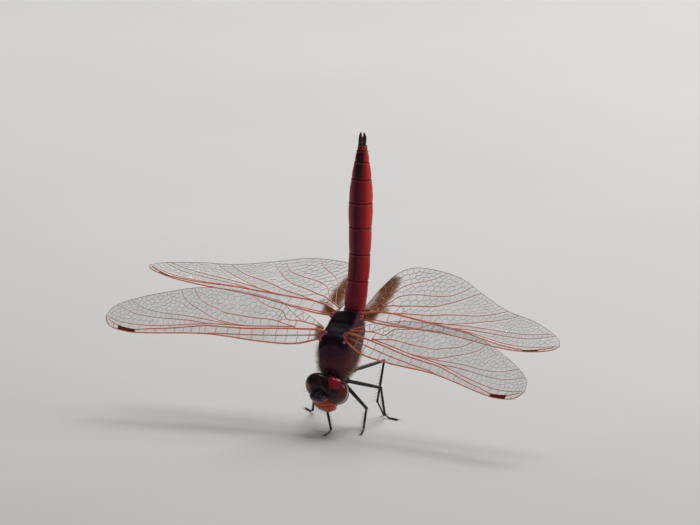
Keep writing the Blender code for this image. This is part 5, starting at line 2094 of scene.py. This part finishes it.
class DROPWING_OT_hair(Operator):
    """Grow the pale hair of the thorax, the waist and the nape, and the bristles of the face"""

    bl_idname = "dropwing.hair"
    bl_label = "Hair"

    def execute(self, context):
        settings = context.scene.dropwing_body
        random = np.random.default_rng(settings.hair_seed)
        tree = bristle_tree()
        cream = self.hair_finish("cream_hair", (0.52, 0.44, 0.29), (0.34, 0.25, 0.16))
        brown = self.hair_finish("brown_bristle", (0.05, 0.03, 0.025), (0.10, 0.05, 0.04))
        # The name, patch, tufts, length, direction, flatness and finish of the hair, and then
        # the thickness, bend and splay of its bristles.
        patches = (
            ("thorax_hair", self.thorax_patch(), settings.hair_count, settings.hair_length,
             -THORAX_TURN[:, 0], 0.30, cream, (0.009, 0.22, 0.30)),
            ("waist_hair", self.waist_patch(), 260, 0.55,
             np.array((0.0, 0.0, 1.0)), 0.45, cream, (0.014, 0.22, 0.30)),
            ("nape_hair", self.nape_patch(), 300, 0.42,
             -HEAD_TURN[:, 0], 0.3, cream, (0.016, 0.2, 0.30)),
            ("brow_bristles", self.brow_patch(), 60, 0.20,
             HEAD_TURN[:, 0], 0.3, brown, (0.014, 0.12, 0.0)),
            ("face_bristles", self.face_patch(), 240, 0.26,
             -HEAD_TURN[:, 2], 0.3, brown, (0.016, 0.12, 0.0)),
        )
        for name, (rows, weight), count, length, towards, flat, finish, shape in patches:
            # The unwrap of the skin below, whose rings have as many sides.
            chart = grid_unwrap(rows) / (SEAM_ROOM, 1.0)
            points, values = hair_on(rows, chart, weight, count, length, random, towards, flat)
            slot = "abdomen_crimson" if name == "waist_hair" else "thorax_violet"
            thickness, bend, splay = shape
            fit_grown(
                name, tree, points, [], values, finish, slot,
                Sides=3, Steps=3, Thickness=thickness, Bend=bend, Splay=splay,
            )
        return {"FINISHED"}

    # Each patch below is rows of points and how thickly hair stands at them.

    def thorax_patch(self):
        rows = thorax_skin_rows(90, 96)
        forward, aside, up = rows[..., 0], rows[..., 1], rows[..., 2]
        beside = np.maximum(ease(0.9, 0.3, forward), ease(1.25, 1.75, np.abs(aside)))
        shaggy = np.where(aside < 0, ease(-0.5, -1.8, up), ease(-3.0, -4.5, up))
        weight = 1e-6 + shaggy * np.maximum(beside, ease(-4.4, -4.9, up))
        return in_thorax(rows), weight

    def waist_patch(self):
        rows, values = abdomen_rows(120, 48)
        return rows, ease(1.9, 0.6, values["along"]) * ease(0.7, 1.5, values["turned"])

    def nape_patch(self):
        rows = head_ball(CAPSULE_CENTRE, CAPSULE_RADII, 40, 64)
        return in_head(rows), ease(-0.45, -0.75, rows[..., 0])

    def brow_patch(self):
        rows = head_ball(FRONS_CENTRE, FRONS_RADII, 40, 60, 0.92)
        return in_head(rows), ease(1.4, 2.0, rows[..., 0])

    def face_patch(self):
        up = np.linspace(FACE_STATIONS[0][0] + 0.1, FACE_STATIONS[-1][0] - 0.1, 40)[:, None]
        angles = even_angles(60)
        ahead = through(FACE_STATIONS, 1, up) - FACE_DEPTH / 2 * (1 - np.cos(angles))
        aside = through(FACE_STATIONS, 2, up) * np.sin(angles)
        rows = np.stack([ahead, aside, up + 0 * angles], -1)
        return in_head(rows), ease(1.2, 1.9, ahead)

    def hair_finish(self, name, light, dark):
        finish = Finish(name, light, 0.5, Sheen_Weight=0.3)
        finish.paint(finish.noise(1400.0), dark)
        finish.uneven(3000.0, 0.4, 0.6)
        return finish.material


# The stage.

FLOOR_RADIUS = 4.0
FLOOR_SHADE = (0.66, 0.65, 0.63)
# The lamps: where they hang and their size, in metres, and the setting that holds their power.
LAMPS = {
    "key": ((0.14, 0.37, 0.52), 0.32, "key_power"),
    "side": ((0.60, 0.02, 0.30), 0.30, "side_power"),
    "front_fill": ((0.10, -0.60, 0.42), 1.00, "fill_power"),
}
LAMP_AIM = 0.6
SKY_COLOUR = (0.93, 0.95, 1.0, 1.0)


class DROPWING_OT_stage(Operator):
    """Lay the pale floor, hang the soft lights and place the camera"""

    bl_idname = "dropwing.stage"
    bl_label = "Stage"

    def execute(self, context):
        settings = context.scene.dropwing_stage
        floor = bpy.data.meshes.new("floor")
        angles = even_angles(96)
        ring = np.stack([np.cos(angles), np.sin(angles), 0 * angles], -1) * FLOOR_RADIUS
        floor.from_pydata(ring.tolist(), [], [list(range(96))])
        paint = Finish("floor_paint", settings.floor_colour, 0.75)
        paint.paint(paint.blotch(9.0, 4.0, 0.3, 0.7), FLOOR_SHADE)
        floor.materials.append(paint.material)
        ground = linked("floor", floor)
        target = Vector(CAMERA_TARGET * MM)
        for name, (place, size, power) in LAMPS.items():
            lamp = bpy.data.lights.new(name, "AREA")
            lamp.energy = getattr(settings, power)
            lamp.size = size
            hung = linked(name, lamp)
            hung.location = place
            away = Vector(place) - target * LAMP_AIM
            hung.rotation_euler = away.to_track_quat("Z", "Y").to_euler()
        world = bpy.data.worlds.new("studio")
        world.use_nodes = True
        sky = world.node_tree.nodes["Background"]
        sky.inputs["Color"].default_value = SKY_COLOUR
        sky.inputs["Strength"].default_value = settings.room_light
        context.scene.world = world
        context.scene.view_settings.view_transform = "Standard"
        lens = bpy.data.cameras.new("camera")
        lens.lens = CAMERA_LENS
        lens.clip_end = 20.0
        camera = linked("camera", lens)
        away = Vector((0.0, -cos(CAMERA_ELEVATION), sin(CAMERA_ELEVATION)))
        camera.location = target + away * (CAMERA_DISTANCE * MM)
        camera.rotation_euler = away.to_track_quat("Z", "Y").to_euler()
        context.scene.camera = camera
        return {"FINISHED"}


# Settings, panel and registration.


def colour(name, description, default):
    """A colour that can be changed in the panel."""
    return FloatVectorProperty(
        name=name, description=description, default=default, subtype="COLOR", min=0.0, max=1.0
    )


def number(name, description, default, low=0.0, high=100.0, **kind):
    """A size or a factor that can be changed in the panel."""
    return FloatProperty(
        name=name, description=description, default=default, min=low, max=high, **kind
    )


class DropwingBody(PropertyGroup):
    """Colours and sizes of the body and legs."""

    violet: colour("Thorax violet", "Colour of the thorax", (0.034, 0.008, 0.018))
    crimson: colour("Abdomen crimson", "Colour of the abdomen", (0.16, 0.005, 0.020))
    femur_radius: number(
        "Femur radius", "Half the thickness of a thigh, in millimetres", 0.23, 0.1, 0.4
    )
    tibia_radius: number(
        "Tibia radius", "Half the thickness of a shin, in millimetres", 0.155, 0.08, 0.3
    )
    foot_radius: number(
        "Foot radius", "Half the thickness of a foot, in millimetres", 0.12, 0.06, 0.25
    )
    hair_length: number(
        "Hair length", "Middle length of the thorax's hair, in millimetres", 0.75, 0.1, 2.0
    )
    hair_count: IntProperty(
        name="Hair tufts", description="How many tufts grow on the thorax", default=3000, min=1
    )
    hair_seed: IntProperty(name="Hair seed", description="Where the tufts fall", default=5)


class DropwingHead(PropertyGroup):
    """Colours of the head."""

    # The left eye's crimson top is painted as lit; the right eye is painted in shade.
    eye_red: colour("Eye red", "Colour of the patch on top of the left eye", (0.30, 0.008, 0.022))
    face_orange: colour("Face orange", "Colour of the face and the lips", (0.66, 0.10, 0.05))


class DropwingWings(PropertyGroup):
    """Sizes and colours of the wings."""

    vein_colour: colour("Vein coral", "Colour of the veins near the body", (1.0, 0.28, 0.12))
    vein_thickness: number(
        "Vein thickness", "How thick all the veins are, as a factor", 1.35, 0.3, 3.0
    )
    membrane_alpha: number(
        "Membrane opacity", "How much of the light the clear skin stops", 0.15, 0.0, 1.0,
        subtype="FACTOR",
    )
    cell_size: number("Cell size", "Area of the cells, as a factor", 1.0, 0.3, 4.0)
    seed: IntProperty(name="Seed", description="How the cells are laid out", default=11)


class DropwingStage(PropertyGroup):
    """Lights and floor."""

    floor_colour: colour("Floor colour", "Colour of the floor", (0.70, 0.69, 0.67))
    key_power: number("Key light", "Power of the main light, in watts", 3.0)
    side_power: number("Side light", "Power of the light on the left side, in watts", 1.1)
    fill_power: number("Fill light", "Power of the wide front light, in watts", 0.9)
    room_light: number("Room light", "Strength of the light from all around", 0.11)


OPERATORS = (
    DROPWING_OT_thorax,
    DROPWING_OT_abdomen,
    DROPWING_OT_head,
    DROPWING_OT_legs,
    DROPWING_OT_wings,
    DROPWING_OT_hair,
    DROPWING_OT_stage,
)
SETTINGS = {
    "dropwing_body": DropwingBody,
    "dropwing_head": DropwingHead,
    "dropwing_wings": DropwingWings,
    "dropwing_stage": DropwingStage,
}


class DROPWING_PT_pieces(Panel):
    """Lists the settings and the steps that build the dragonfly"""

    bl_idname = "DROPWING_PT_pieces"
    bl_label = "Violet Dropwing"
    bl_space_type = "VIEW_3D"
    bl_region_type = "UI"
    bl_category = "Dropwing"

    def draw(self, context):
        for name, group in SETTINGS.items():
            box = self.layout.box()
            settings = getattr(context.scene, name)
            for label in group.__annotations__:
                box.prop(settings, label)
        for operator in OPERATORS:
            self.layout.operator(operator.bl_idname)


def register():
    for group in SETTINGS.values():
        bpy.utils.register_class(group)
    for operator in OPERATORS:
        bpy.utils.register_class(operator)
    bpy.utils.register_class(DROPWING_PT_pieces)
    for name, group in SETTINGS.items():
        setattr(bpy.types.Scene, name, PointerProperty(type=group))


def unregister():
    for name in SETTINGS:
        delattr(bpy.types.Scene, name)
    bpy.utils.unregister_class(DROPWING_PT_pieces)
    for operator in reversed(OPERATORS):
        bpy.utils.unregister_class(operator)
    for group in reversed(SETTINGS.values()):
        bpy.utils.unregister_class(group)


def main():
    register()
    for step in ("thorax", "abdomen", "head", "legs", "wings", "hair", "stage"):
        getattr(bpy.ops.dropwing, step)()
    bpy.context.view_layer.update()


if __name__ == "__main__":
    main()
